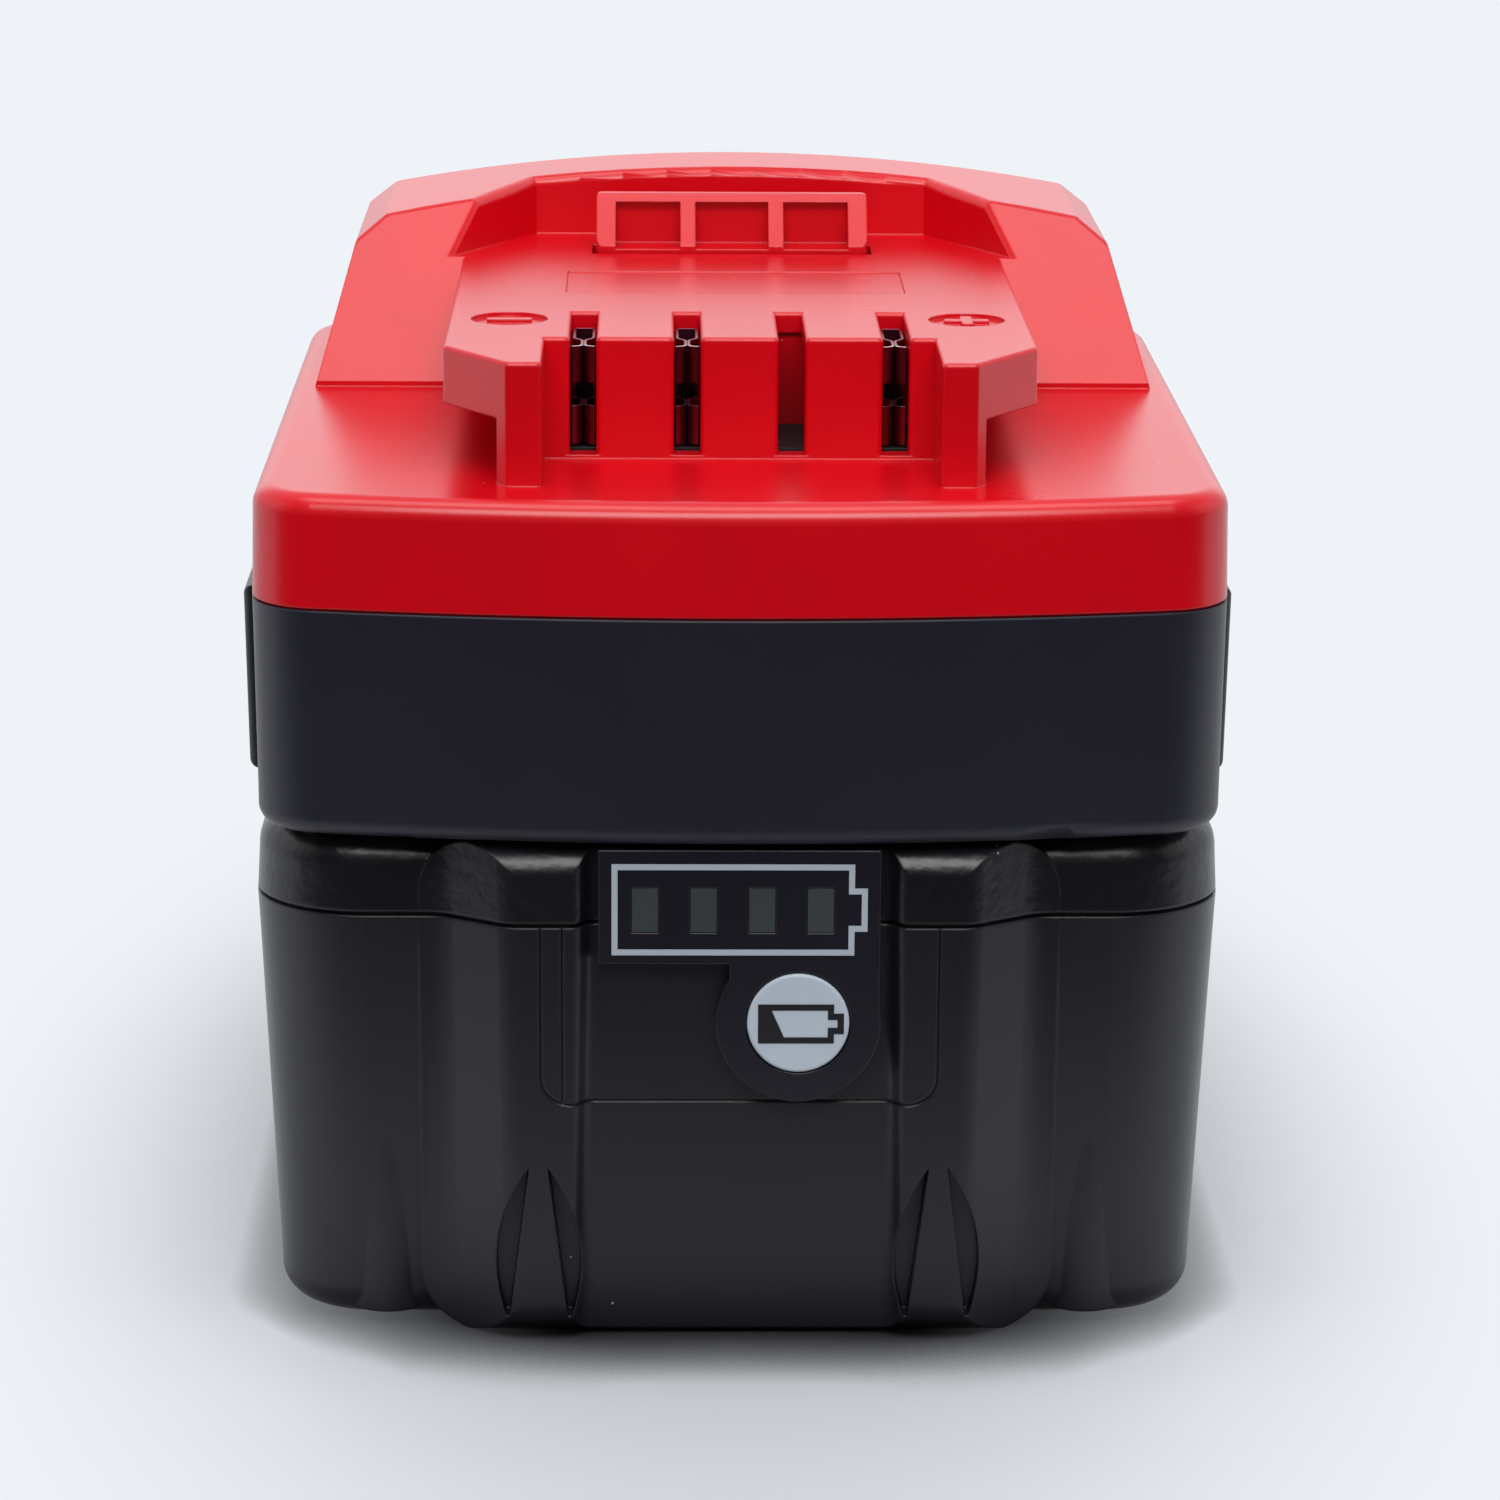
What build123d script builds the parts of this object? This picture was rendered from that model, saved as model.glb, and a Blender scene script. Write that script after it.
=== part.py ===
from build123d import *
from math import radians, sqrt, tan
import os

os.makedirs("parts", exist_ok=True)

# A battery adapter docked on a slide-in battery pack. Millimetres, +Z up, X across, +Y towards the rear.
# The origin is under the middle of the whole assembly, on the surface that the pack stands on.
# Distances called setback are measured along +Y from the foremost point of the adapter's bowed front.

# Overall sizes
overall_length = 114.0
front_y = -overall_length / 2
running_gap = 0.3
slip_gap = 0.1

# Adapter body, a little narrower than the pack
pack_width = 76.8
side_step = 0.3
adapter_width = pack_width - 2 * side_step
adapter_length = 86.0
front_bow_r = 174.0
adapter_front_corner_r = 6.0
adapter_rear_corner_r = 7.0
skirt_draft = 1.2
ring_draft = 0.8
adapter_wall = 2.2
ring_height = 18.1
skirt_height = 9.0
ring_edge_r = 1.5
deck_edge_r = 1.6
seam_chamfer = 0.25

# Pack body
pack_front_setback = 4.9
pack_front_corner_r = 9.0
pack_rear_corner_r = 7.0
pack_wall = 2.2
pack_height = 40.7
cover_height = 6.5
part_line_z = pack_height - cover_height
case_draft = 2.75
cover_draft = 3.0
relief_draft = 1.3
case_floor = 1.8
cover_plate = 1.8
cover_edge_r = 2.6
case_edge_r = 2.8
docking_gap = 0.3
part_line_height = 0.35
part_line_depth = 0.4

# Rails that join the pack to the adapter
rail_neck_width = 51.0
rail_flange_width = 57.0
rail_crown_width = 49.0
rail_neck_height = 5.5
rail_flange_height = 4.0
rail_crown_height = 2.7
rail_front_setback = 9.4
rail_wall = 1.8
rail_clearance = 0.35
roof_thickness = 1.8
channel_wall = 1.5

# Levels
ring_bottom_z = pack_height + docking_gap
seam_z = ring_bottom_z + ring_height
deck_z = seam_z + skirt_height
neck_top_z = pack_height + rail_neck_height
flange_top_z = neck_top_z + rail_flange_height
crown_top_z = flange_top_z + rail_crown_height
roof_z = crown_top_z + rail_clearance
bay_floor_z = roof_z + roof_thickness
deck_under_z = deck_z - adapter_wall
adapter_rear_y = front_y + adapter_length
channel_half = rail_flange_width / 2 + rail_clearance
channel_outer_half = channel_half + channel_wall


def y_at(setback):
    return front_y + setback


def around(place):
    """The two bounds of a narrow band, for picking the edges that lie at one place."""
    return place - slip_gap, place + slip_gap


# Adapter plan: bowed front, straight sides, rounded corners


def adapter_outline(level, inset=0.0):
    half = adapter_width / 2
    side_y = front_y + front_bow_r - sqrt(front_bow_r**2 - half**2)
    with BuildSketch(Plane.XY.offset(level)) as outline:
        with BuildLine():
            ThreePointArc((-half, side_y), (0, front_y), (half, side_y))
            Polyline((half, side_y), (half, adapter_rear_y), (-half, adapter_rear_y), (-half, side_y))
        make_face()
        fillet(outline.vertices().group_by(Axis.Y)[0], adapter_front_corner_r)
        fillet(outline.vertices().group_by(Axis.Y)[-1], adapter_rear_corner_r)
        if inset > 0:
            offset(amount=-inset)
    return outline.sketch


# Adapter housing screws: places shared by both housings
screw_shank_r = 1.2
screw_head_r = 2.2
screw_head_height = 1.6
screw_pitch_gap = 0.03
boss_r = 3.0
adapter_screw_side_margin = 4.9
adapter_screw_rear_margin = 12.0
adapter_screw_x = adapter_width / 2 - adapter_screw_side_margin
adapter_screw_front = 9.6
adapter_screw_rear = adapter_length - adapter_screw_rear_margin
adapter_screw_reach = 5.0
adapter_screw_top_z = seam_z + adapter_screw_reach
adapter_screw_spots = [
    (side * adapter_screw_x, y_at(setback))
    for side in (-1, 1)
    for setback in (adapter_screw_front, adapter_screw_rear)
]

# Tool-side platform of the top housing
platform_height = 9.75
platform_z = deck_z + platform_height
rail_lip_height = 4.55
tool_rail_width = 46.6
tool_neck_width = 37.9
column_front_setback = 7.1
column_inner_width = 30.9
column_face_width = 36.4
rail_front_setback_outer = 14.6
slot_face_setback = 18.5
slot_front_wall = 2.0
slot_pitch = 8.27
slot_width = 2.1
notch_end_setback = 30.7
slot_sill = 0.3
compartment_end_setback = 31.2
compartment_rib = 1.4
platform_top_wall = 1.7
platform_side_wall = 1.9
platform_corner_r = 0.4
platform_edge_r = 0.35
slot_spots = [slot_pitch * step for step in (-1.5, -0.5, 0.5, 1.5)]

# Shoulders and arch of the top housing
shoulder_foot_setback = 50.1
shoulder_lip = 0.5
shoulder_rear_top_margin = 2.5
shoulder_rear_foot_margin = 1.4
shoulder_side_margin = 2.45
shoulder_side_lean = 3.05
crown_edge_lean = 2.5
shoulder_rear_top_setback = adapter_length - shoulder_rear_top_margin
shoulder_rear_foot_setback = adapter_length - shoulder_rear_foot_margin
shoulder_foot_width = adapter_width - 2 * shoulder_side_margin
shoulder_ridge_width = shoulder_foot_width - 2 * shoulder_side_lean
shoulder_ridge_rise = 11.0
crown_edge_width = shoulder_ridge_width - 2 * crown_edge_lean
crown_edge_rise = 12.95
crown_rise = 15.7
recess_back_margin = 13.2
recess_mouth_margin = 6.45
recess_back_setback = adapter_length - recess_back_margin
recess_back_width = 34.5
recess_mouth_setback = shoulder_foot_setback
recess_mouth_width = shoulder_foot_width - 2 * recess_mouth_margin
shoulder_wall = 2.0
shoulder_edge_r = 0.8

# Tool latch
latch_width = 23.6
latch_recess_depth = 11.1
latch_front_setback = recess_back_setback - latch_recess_depth
latch_rise = 4.75
latch_ramp_length = 3.4
latch_top_depth = 1.2
latch_lip = 0.6
latch_window_gap = 0.35
latch_neck_width = 18.8
latch_neck_depth = 5.6
latch_flange_width = 26.8
latch_flange_thickness = 1.5
latch_bottom_rise = 4.9
wing_height = 5.0
latch_travel = 4.4
release_travel = 2.4
wing_tip_width = 31.2
latch_spring_r = 1.9
latch_spring_x = 6.5
latch_spring_pocket = 6.0


def shoulder_form(inset):
    """The raised rear of the top housing: 45 degree front, sloping sides, crowned top."""
    foot_y = y_at(shoulder_foot_setback) + inset * sqrt(2)
    rear_top_y = y_at(shoulder_rear_top_setback) - inset
    rear_foot_y = y_at(shoulder_rear_foot_setback) - inset
    high_z = deck_z + crown_rise + shoulder_wall
    lip_z = deck_z + shoulder_lip
    base_z = deck_z - adapter_wall - 0.5 if inset > 0 else deck_z - 0.5
    with BuildPart() as form:
        with BuildSketch(Plane.YZ):
            with BuildLine():
                Polyline(
                    (foot_y, base_z),
                    (foot_y, lip_z),
                    (foot_y + high_z - lip_z, high_z),
                    (rear_top_y, high_z),
                    (rear_foot_y, base_z),
                    close=True,
                )
            make_face()
        extrude(amount=adapter_width, both=True)
        with BuildSketch(Plane.XZ.offset(-adapter_rear_y)):
            with BuildLine():
                foot_x = shoulder_foot_width / 2 - inset
                ridge_x = shoulder_ridge_width / 2 - inset
                edge_x = crown_edge_width / 2 - inset / 2
                edge_z = deck_z + crown_edge_rise - inset
                Polyline(
                    (-edge_x, edge_z),
                    (-ridge_x, deck_z + shoulder_ridge_rise),
                    (-foot_x, deck_z),
                    (-foot_x, base_z),
                    (foot_x, base_z),
                    (foot_x, deck_z),
                    (ridge_x, deck_z + shoulder_ridge_rise),
                    (edge_x, edge_z),
                )
                ThreePointArc((-edge_x, edge_z), (0, deck_z + crown_rise - inset), (edge_x, edge_z))
            make_face()
        extrude(amount=adapter_length, mode=Mode.INTERSECT)
    return form.part


def recess_plan(level, grow):
    """Plan of the pocket between the shoulders, over the platform, that the tool's nose enters."""
    back_y = y_at(recess_back_setback) + grow
    mouth_y = y_at(recess_mouth_setback) - grow
    with BuildSketch(Plane.XY.offset(level)) as plan:
        with BuildLine():
            Polyline(
                (-recess_back_width / 2 - grow, back_y),
                (-recess_mouth_width / 2 - grow, mouth_y),
                (recess_mouth_width / 2 + grow, mouth_y),
                (recess_back_width / 2 + grow, back_y),
                close=True,
            )
        make_face()
    return plan.sketch


def platform_plan(level, width):
    """Plan of the platform with its chamfered rail fronts, trimmed to a width."""
    front = y_at(column_front_setback)
    outer = y_at(rail_front_setback_outer)
    rear = y_at(recess_back_setback)
    face_x = column_face_width / 2
    rail_x = tool_rail_width / 2
    with BuildSketch(Plane.XY.offset(level)) as plan:
        with BuildLine():
            Polyline(
                (-face_x, front),
                (-rail_x, outer),
                (-rail_x, rear),
                (rail_x, rear),
                (rail_x, outer),
                (face_x, front),
                close=True,
            )
        make_face()
        with Locations((0, (front + rear) / 2)):
            Rectangle(width, rear - front, mode=Mode.INTERSECT)
        bay_depth = slot_face_setback - column_front_setback
        with Locations((0, front + bay_depth / 2)):
            Rectangle(column_inner_width, bay_depth, mode=Mode.SUBTRACT)
    return plan.sketch


# Top housing: one red moulding with the tool's rails, the terminal bay, the shoulders and the arch
polarity_r = 3.1
polarity_x = 18.45
polarity_setback = 27.4
polarity_depth = 0.35
polarity_bar = 3.6
polarity_bar_width = 0.9
label_width = 28.2
label_front_setback = 40.4
label_rear_setback = 51.8
label_depth = 0.15

with BuildPart() as top_housing:
    # Skirt and deck, rounded over at the deck and eased at the seam
    extrude(adapter_outline(seam_z), amount=skirt_height, taper=skirt_draft)
    fillet(top_housing.edges().group_by(Axis.Z)[-1], deck_edge_r)
    chamfer(top_housing.edges().group_by(Axis.Z)[0], seam_chamfer)
    # Platform neck and the rails that overhang it
    extrude(platform_plan(deck_z - 0.5, tool_neck_width), amount=platform_height + 0.5)
    extrude(platform_plan(platform_z, tool_rail_width), amount=-rail_lip_height)
    # Four terminal slots: open to the front, and as notches through the platform's top
    with BuildSketch(Plane.XY.offset(deck_z + slot_sill)):
        with Locations(*[(x, y_at(slot_face_setback + slot_front_wall / 2)) for x in slot_spots]):
            Rectangle(slot_width, slot_front_wall + 2 * slip_gap)
    extrude(amount=platform_height, mode=Mode.SUBTRACT)
    notch_middle = (slot_face_setback + notch_end_setback) / 2
    with BuildSketch(Plane.XY.offset(platform_z - platform_top_wall - slip_gap)):
        with Locations(*[(x, y_at(notch_middle)) for x in slot_spots]):
            Rectangle(slot_width, notch_end_setback - slot_face_setback + 2 * slip_gap)
    extrude(amount=platform_height, mode=Mode.SUBTRACT)
    # Rounded upright corners of the columns, the rails and the slotted face, then the top's edges
    uprights = top_housing.edges().filter_by(Axis.Z)
    column_corners = uprights.filter_by_position(Axis.Y, *around(y_at(column_front_setback)))
    slot_corners = uprights.filter_by_position(Axis.Y, *around(y_at(slot_face_setback))).filter_by_position(
        Axis.X, -column_inner_width / 2 + slip_gap, column_inner_width / 2 - slip_gap
    )
    rail_corners = ShapeList()
    for rail_x in (-tool_rail_width / 2, tool_rail_width / 2):
        rail_corners += uprights.filter_by_position(Axis.X, *around(rail_x))
    fillet(column_corners + slot_corners + rail_corners, platform_corner_r)
    top_edges = top_housing.edges().filter_by_position(Axis.Z, *around(platform_z)).filter_by_position(
        Axis.Y, front_y, y_at(recess_back_setback) - slip_gap
    )
    fillet(top_edges, platform_edge_r)
    add(shoulder_form(0.0))
    extrude(recess_plan(platform_z, 0.0), amount=crown_rise, mode=Mode.SUBTRACT)
    # Rounded ridges of the shoulders and rims of the arch
    raised_edges = top_housing.edges().filter_by_position(
        Axis.Z, platform_z + slip_gap, deck_z + 2 * crown_rise
    )
    fillet(raised_edges.filter_by(Axis.Z, reverse=True), shoulder_edge_r)
    # The inside is hollow under the deck, the shoulders and the platform
    extrude(adapter_outline(seam_z, adapter_wall), amount=skirt_height - adapter_wall, mode=Mode.SUBTRACT)
    recess_floor_z = platform_z - platform_top_wall
    recess_shell = extrude(recess_plan(recess_floor_z, shoulder_wall), amount=crown_rise, mode=Mode.PRIVATE)
    add(shoulder_form(shoulder_wall) - recess_shell, mode=Mode.SUBTRACT)
    cavity_front = slot_face_setback + slot_front_wall
    cavity_rear = recess_back_setback - shoulder_wall
    cavity_height = platform_z - platform_top_wall - deck_under_z
    with BuildSketch(Plane.XY.offset(deck_under_z)):
        with Locations((0, y_at((cavity_front + compartment_end_setback) / 2))):
            Rectangle(tool_neck_width - 2 * platform_side_wall, compartment_end_setback - cavity_front)
        bay_start = compartment_end_setback + compartment_rib
        with Locations((0, y_at((bay_start + cavity_rear) / 2))):
            Rectangle(tool_neck_width - 2 * platform_side_wall, cavity_rear - bay_start)
    extrude(amount=cavity_height, mode=Mode.SUBTRACT)
    # Window for the tool latch
    latch_depth = latch_ramp_length + latch_top_depth
    with BuildSketch(Plane.XY.offset(platform_z - platform_top_wall - slip_gap)):
        with Locations((0, y_at(latch_front_setback + latch_depth / 2))):
            Rectangle(latch_width + 2 * latch_window_gap, latch_depth + 2 * latch_window_gap)
    extrude(amount=platform_height, mode=Mode.SUBTRACT)
    # Sunk polarity discs, each with its sign left standing, and the sunk label field
    with BuildSketch(Plane.XY.offset(platform_z)):
        with Locations((-polarity_x, y_at(polarity_setback)), (polarity_x, y_at(polarity_setback))):
            Circle(polarity_r)
            Rectangle(polarity_bar, polarity_bar_width, mode=Mode.SUBTRACT)
        with Locations((polarity_x, y_at(polarity_setback))):
            Rectangle(polarity_bar_width, polarity_bar, mode=Mode.SUBTRACT)
    extrude(amount=-polarity_depth, mode=Mode.SUBTRACT)
    with BuildSketch(Plane.XY.offset(platform_z)):
        with Locations((0, y_at((label_front_setback + label_rear_setback) / 2))):
            Rectangle(label_width, label_rear_setback - label_front_setback)
    extrude(amount=-label_depth, mode=Mode.SUBTRACT)
    # Screw bosses, down to the seam
    with BuildSketch(Plane.XY.offset(seam_z)):
        with Locations(*adapter_screw_spots):
            Circle(boss_r)
    extrude(amount=skirt_height - adapter_wall / 2)
    with BuildSketch(Plane.XY.offset(seam_z)):
        with Locations(*adapter_screw_spots):
            Circle(screw_shank_r + screw_pitch_gap)
    extrude(amount=adapter_screw_top_z - seam_z + running_gap, mode=Mode.SUBTRACT)
top_housing.part.label = "top_housing"
export_step(top_housing.part, "parts/top_housing.step")

# Box from its width across, its front and rear setbacks and its two levels


def slab(width, front, rear, bottom, top, x=0.0, mode=Mode.ADD):
    with Locations((x, y_at((front + rear) / 2), (bottom + top) / 2)):
        return Box(width, rear - front, top - bottom, mode=mode)


# Release pads: places shared by the lower housing, the pads and their springs
pad_front_setback = 17.3
pad_length = 39.4
pad_height = 15.0
pad_sill = 2.0
pad_proud = 1.4
pad_lean = 0.3
pad_window_gap = 0.2
pad_edge_r = 0.8
pad_flange_lip = 1.5
pad_flange_thickness = 1.0
pad_wall_gap = 0.3
pad_skin = 1.6
pad_groove_count = 5
pad_groove_pitch = 4.0
pad_groove_width = 1.6
pad_groove_depth = 0.5
ring_floor = 1.6
arm_depth = 4.4
arm_thickness = 4.8
release_spring_r = 2.0
release_spring_setback = 36.0
pad_rear_setback = pad_front_setback + pad_length
pad_bottom_z = ring_bottom_z + pad_sill
pad_top_z = pad_bottom_z + pad_height
pad_outer_x = adapter_width / 2 + pad_proud
pad_flange_x = adapter_width / 2 - adapter_wall - pad_wall_gap
pad_inner_x = pad_flange_x - pad_flange_thickness
chamber_floor_z = ring_bottom_z + ring_floor

# Pack latch: places shared by the lower housing, the pack cover, the latch and its spring
hook_width = 18.0
hook_rear_margin = 5.6
hook_front_setback = adapter_length - hook_rear_margin
hook_depth = 3.0
hook_rise = 2.5
hook_gap = 0.4
pack_latch_travel = 3.1
latch_bar_thickness = 4.0
latch_bar_gap = 0.3

# Blades and straps: places shared by the lower housing, the holder and the pack
blade_x = slot_spots[-1]
blade_thickness = 0.8
blade_tail_front = 4.9
blade_tail_rear = 8.1
blade_tip_setback = 20.5
blade_bottom_z = neck_top_z + 1.4
blade_top_z = roof_z - 0.9
blade_fit = 0.05
holder_front_setback = 3.7
holder_rear_setback = 8.9
holder_width = 38.0

# Adapter circuit board: places shared with its standoffs
board_width = 18.0
board_front_setback = 26.0
board_latch_gap = 5.7
board_rear_setback = latch_front_setback - board_latch_gap
board_thickness = 1.6
board_standoff = 1.2
standoff_r = 1.5
standoff_inset = 2.2

# Lower housing: the black ring with the pack's channel, the roof over it and the side chambers
with BuildPart() as lower_housing:
    extrude(adapter_outline(seam_z), amount=-ring_height, taper=ring_draft)
    fillet(lower_housing.edges().group_by(Axis.Z)[0], ring_edge_r)
    # Wiring bay above the roof
    extrude(adapter_outline(seam_z, adapter_wall), amount=bay_floor_z - seam_z, mode=Mode.SUBTRACT)
    # Side chambers for the release pads
    with BuildSketch(Plane.XY.offset(chamber_floor_z)):
        add(adapter_outline(0, adapter_wall))
        with Locations((0, y_at(adapter_length / 2))):
            Rectangle(2 * channel_outer_half, adapter_length, mode=Mode.SUBTRACT)
    extrude(amount=bay_floor_z - chamber_floor_z, mode=Mode.SUBTRACT)
    # Channel that the pack's rails slide into from the rear
    past_rear = adapter_length + 1
    neck_cut_z = neck_top_z - rail_clearance
    flange_cut_z = flange_top_z + rail_clearance
    below_ring_z = ring_bottom_z - 1
    neck_cut_width = rail_neck_width + 2 * rail_clearance
    crown_cut_width = rail_crown_width + 2 * rail_clearance
    channel_front = holder_front_setback - slip_gap
    flange_front = rail_front_setback - rail_clearance
    slab(neck_cut_width, channel_front, past_rear, below_ring_z, neck_cut_z, mode=Mode.SUBTRACT)
    slab(2 * channel_half, flange_front, past_rear, neck_cut_z, flange_cut_z, mode=Mode.SUBTRACT)
    slab(crown_cut_width, channel_front, past_rear, neck_cut_z, roof_z, mode=Mode.SUBTRACT)
    # Pocket in the roof for the pack latch's hook; the bar behind it is the catch
    hook_rear_setback = hook_front_setback + hook_depth
    slab(
        hook_width + 2 * hook_gap,
        hook_front_setback - hook_gap,
        hook_rear_setback + hook_gap,
        roof_z - slip_gap,
        bay_floor_z + slip_gap,
        mode=Mode.SUBTRACT,
    )
    # Windows for the release pads
    for side in (-1, 1):
        slab(
            4 * adapter_wall,
            pad_front_setback - pad_window_gap,
            pad_rear_setback + pad_window_gap,
            pad_bottom_z - pad_window_gap,
            pad_top_z + pad_window_gap,
            x=side * (adapter_width / 2 + adapter_wall),
            mode=Mode.SUBTRACT,
        )
    # Slots in the roof for the tails of the two blades
    for side in (-1, 1):
        slab(
            blade_thickness + 2 * blade_fit,
            blade_tail_front - blade_fit,
            blade_tail_rear + blade_fit,
            roof_z - slip_gap,
            bay_floor_z + slip_gap,
            x=side * blade_x,
            mode=Mode.SUBTRACT,
        )
    # Standoffs for the circuit board, and screw bosses with their counterbores
    board_middle = y_at((board_front_setback + board_rear_setback) / 2)
    with BuildSketch(Plane.XY.offset(bay_floor_z)):
        with Locations((0, board_middle)):
            with GridLocations(
                board_width - 2 * standoff_inset,
                board_rear_setback - board_front_setback - 2 * standoff_inset,
                2,
                2,
            ):
                Circle(standoff_r)
    extrude(amount=board_standoff)
    with BuildSketch(Plane.XY.offset(chamber_floor_z)):
        with Locations(*adapter_screw_spots):
            Circle(boss_r)
    extrude(amount=seam_z - chamber_floor_z)
    with Locations(*[Location((x, y, ring_bottom_z), (180, 0, 0)) for x, y in adapter_screw_spots]):
        CounterBoreHole(
            screw_shank_r + slip_gap,
            screw_head_r + slip_gap,
            screw_head_height + slip_gap,
            ring_height,
        )
lower_housing.part.label = "lower_housing"
export_step(lower_housing.part, "parts/lower_housing.step")

# Housing screws: four identical pan heads, driven up from the ring's underside
with BuildPart() as housing_screws:
    head_z = ring_bottom_z + slip_gap
    with BuildSketch(Plane.XY.offset(head_z)):
        with Locations(*adapter_screw_spots):
            Circle(screw_head_r)
    extrude(amount=screw_head_height)
    with BuildSketch(Plane.XY.offset(head_z + screw_head_height)):
        with Locations(*adapter_screw_spots):
            Circle(screw_shank_r)
    extrude(amount=adapter_screw_top_z - head_z - screw_head_height)
    with BuildSketch(Plane.XY.offset(head_z)):
        with Locations(*adapter_screw_spots):
            Rectangle(screw_head_r, screw_head_r / 4)
            Rectangle(screw_head_r / 4, screw_head_r)
    extrude(amount=screw_head_height / 2, mode=Mode.SUBTRACT)
housing_screws.part.label = "housing_screws"
export_step(housing_screws.part, "parts/housing_screws.step")

# Tool latch: a sprung wedge with three pockets, pulled down by the two release pads
latch_rear_setback = latch_front_setback + latch_depth
latch_middle_setback = (latch_front_setback + latch_rear_setback) / 2
latch_top_z = platform_z + latch_rise
latch_flange_top_z = platform_z - platform_top_wall - running_gap
latch_bottom_z = bay_floor_z + latch_bottom_rise
wing_slope = release_travel / latch_travel
latch_side_wall = 1.67
latch_pocket_wall = 1.33
latch_middle_pocket = 6.34
latch_back_wall = 0.9
latch_top_bar = 0.7
latch_sill = 0.35
latch_spring_gap = 0.2
latch_edge_r = 0.3

with BuildPart() as tool_latch:
    # Head with its ramp
    head_front_y = y_at(latch_front_setback)
    head_rear_y = y_at(latch_rear_setback)
    with BuildSketch(Plane.YZ.offset(-latch_width / 2)):
        with BuildLine():
            Polyline(
                (head_front_y, latch_flange_top_z),
                (head_front_y, platform_z + latch_lip),
                (head_front_y + latch_ramp_length, latch_top_z),
                (head_rear_y, latch_top_z),
                (head_rear_y, latch_flange_top_z),
                close=True,
            )
        make_face()
    extrude(amount=latch_width)
    fillet(tool_latch.edges().filter_by(Axis.Z), latch_side_wall / 3)
    fillet(tool_latch.edges().group_by(Axis.Z)[-1], latch_edge_r)
    # Three pockets, open on the ramp
    side_pocket = (latch_width - 2 * latch_side_wall - 2 * latch_pocket_wall - latch_middle_pocket) / 2
    side_pocket_x = (latch_middle_pocket + side_pocket) / 2 + latch_pocket_wall
    for pocket_x, pocket_width in (
        (-side_pocket_x, side_pocket),
        (0.0, latch_middle_pocket),
        (side_pocket_x, side_pocket),
    ):
        slab(
            pocket_width,
            latch_front_setback - 1,
            latch_rear_setback - latch_back_wall,
            platform_z + latch_sill,
            latch_top_z - latch_top_bar,
            x=pocket_x,
            mode=Mode.SUBTRACT,
        )
    # Flange that stops it under the platform, neck, and the wings with their sloped ends
    flange_bottom_z = latch_flange_top_z - latch_flange_thickness
    flange_reach = (latch_flange_width - latch_width) / 2
    flange_front = latch_front_setback - flange_reach / 2
    flange_rear = latch_rear_setback + flange_reach / 2
    slab(latch_flange_width, flange_front, flange_rear, flange_bottom_z, latch_flange_top_z)
    neck_front = latch_middle_setback - latch_neck_depth / 2
    neck_rear = latch_middle_setback + latch_neck_depth / 2
    slab(latch_neck_width, neck_front, neck_rear, latch_bottom_z, flange_bottom_z)
    wing_low_x = wing_tip_width / 2
    wing_high_x = wing_low_x - wing_height * wing_slope
    with BuildSketch(Plane.XZ.offset(-y_at(neck_front))):
        with BuildLine():
            Polyline(
                (-wing_low_x, latch_bottom_z),
                (-wing_high_x, latch_bottom_z + wing_height),
                (wing_high_x, latch_bottom_z + wing_height),
                (wing_low_x, latch_bottom_z),
                close=True,
            )
        make_face()
    extrude(amount=-latch_neck_depth)
    # Blind holes for the two springs
    with Locations(
        *[
            Location((x, y_at(latch_middle_setback), latch_bottom_z), (180, 0, 0))
            for x in (-latch_spring_x, latch_spring_x)
        ]
    ):
        Hole(latch_spring_r + latch_spring_gap, depth=latch_spring_pocket)
tool_latch.part.label = "tool_latch"
export_step(tool_latch.part, "parts/tool_latch.step")


def coil_spring(start, direction, length, outer_r, wire_r, turns):
    """A compression spring that touches its seats at both ends."""
    rise = length - 2 * wire_r
    axis = Vector(*direction)
    with BuildPart() as spring:
        with BuildLine() as coil:
            Helix(
                pitch=rise / turns,
                height=rise,
                radius=outer_r - wire_r,
                center=Vector(*start) + axis * wire_r,
                direction=direction,
            )
        with BuildSketch(Plane(origin=coil.line @ 0, z_dir=coil.line % 0)):
            Circle(wire_r)
        sweep(is_frenet=True)
    return spring.part


latch_spring_wire_r = 0.2
latch_spring_turns = 9
latch_spring_length = latch_bottom_z + latch_spring_pocket - bay_floor_z
with BuildPart() as latch_springs:
    for x in (-latch_spring_x, latch_spring_x):
        add(
            coil_spring(
                (x, y_at(latch_middle_setback), bay_floor_z),
                (0, 0, 1),
                latch_spring_length,
                latch_spring_r,
                latch_spring_wire_r,
                latch_spring_turns,
            )
        )
latch_springs.part.label = "tool_latch_springs"
export_step(latch_springs.part, "parts/tool_latch_springs.step")

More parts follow.
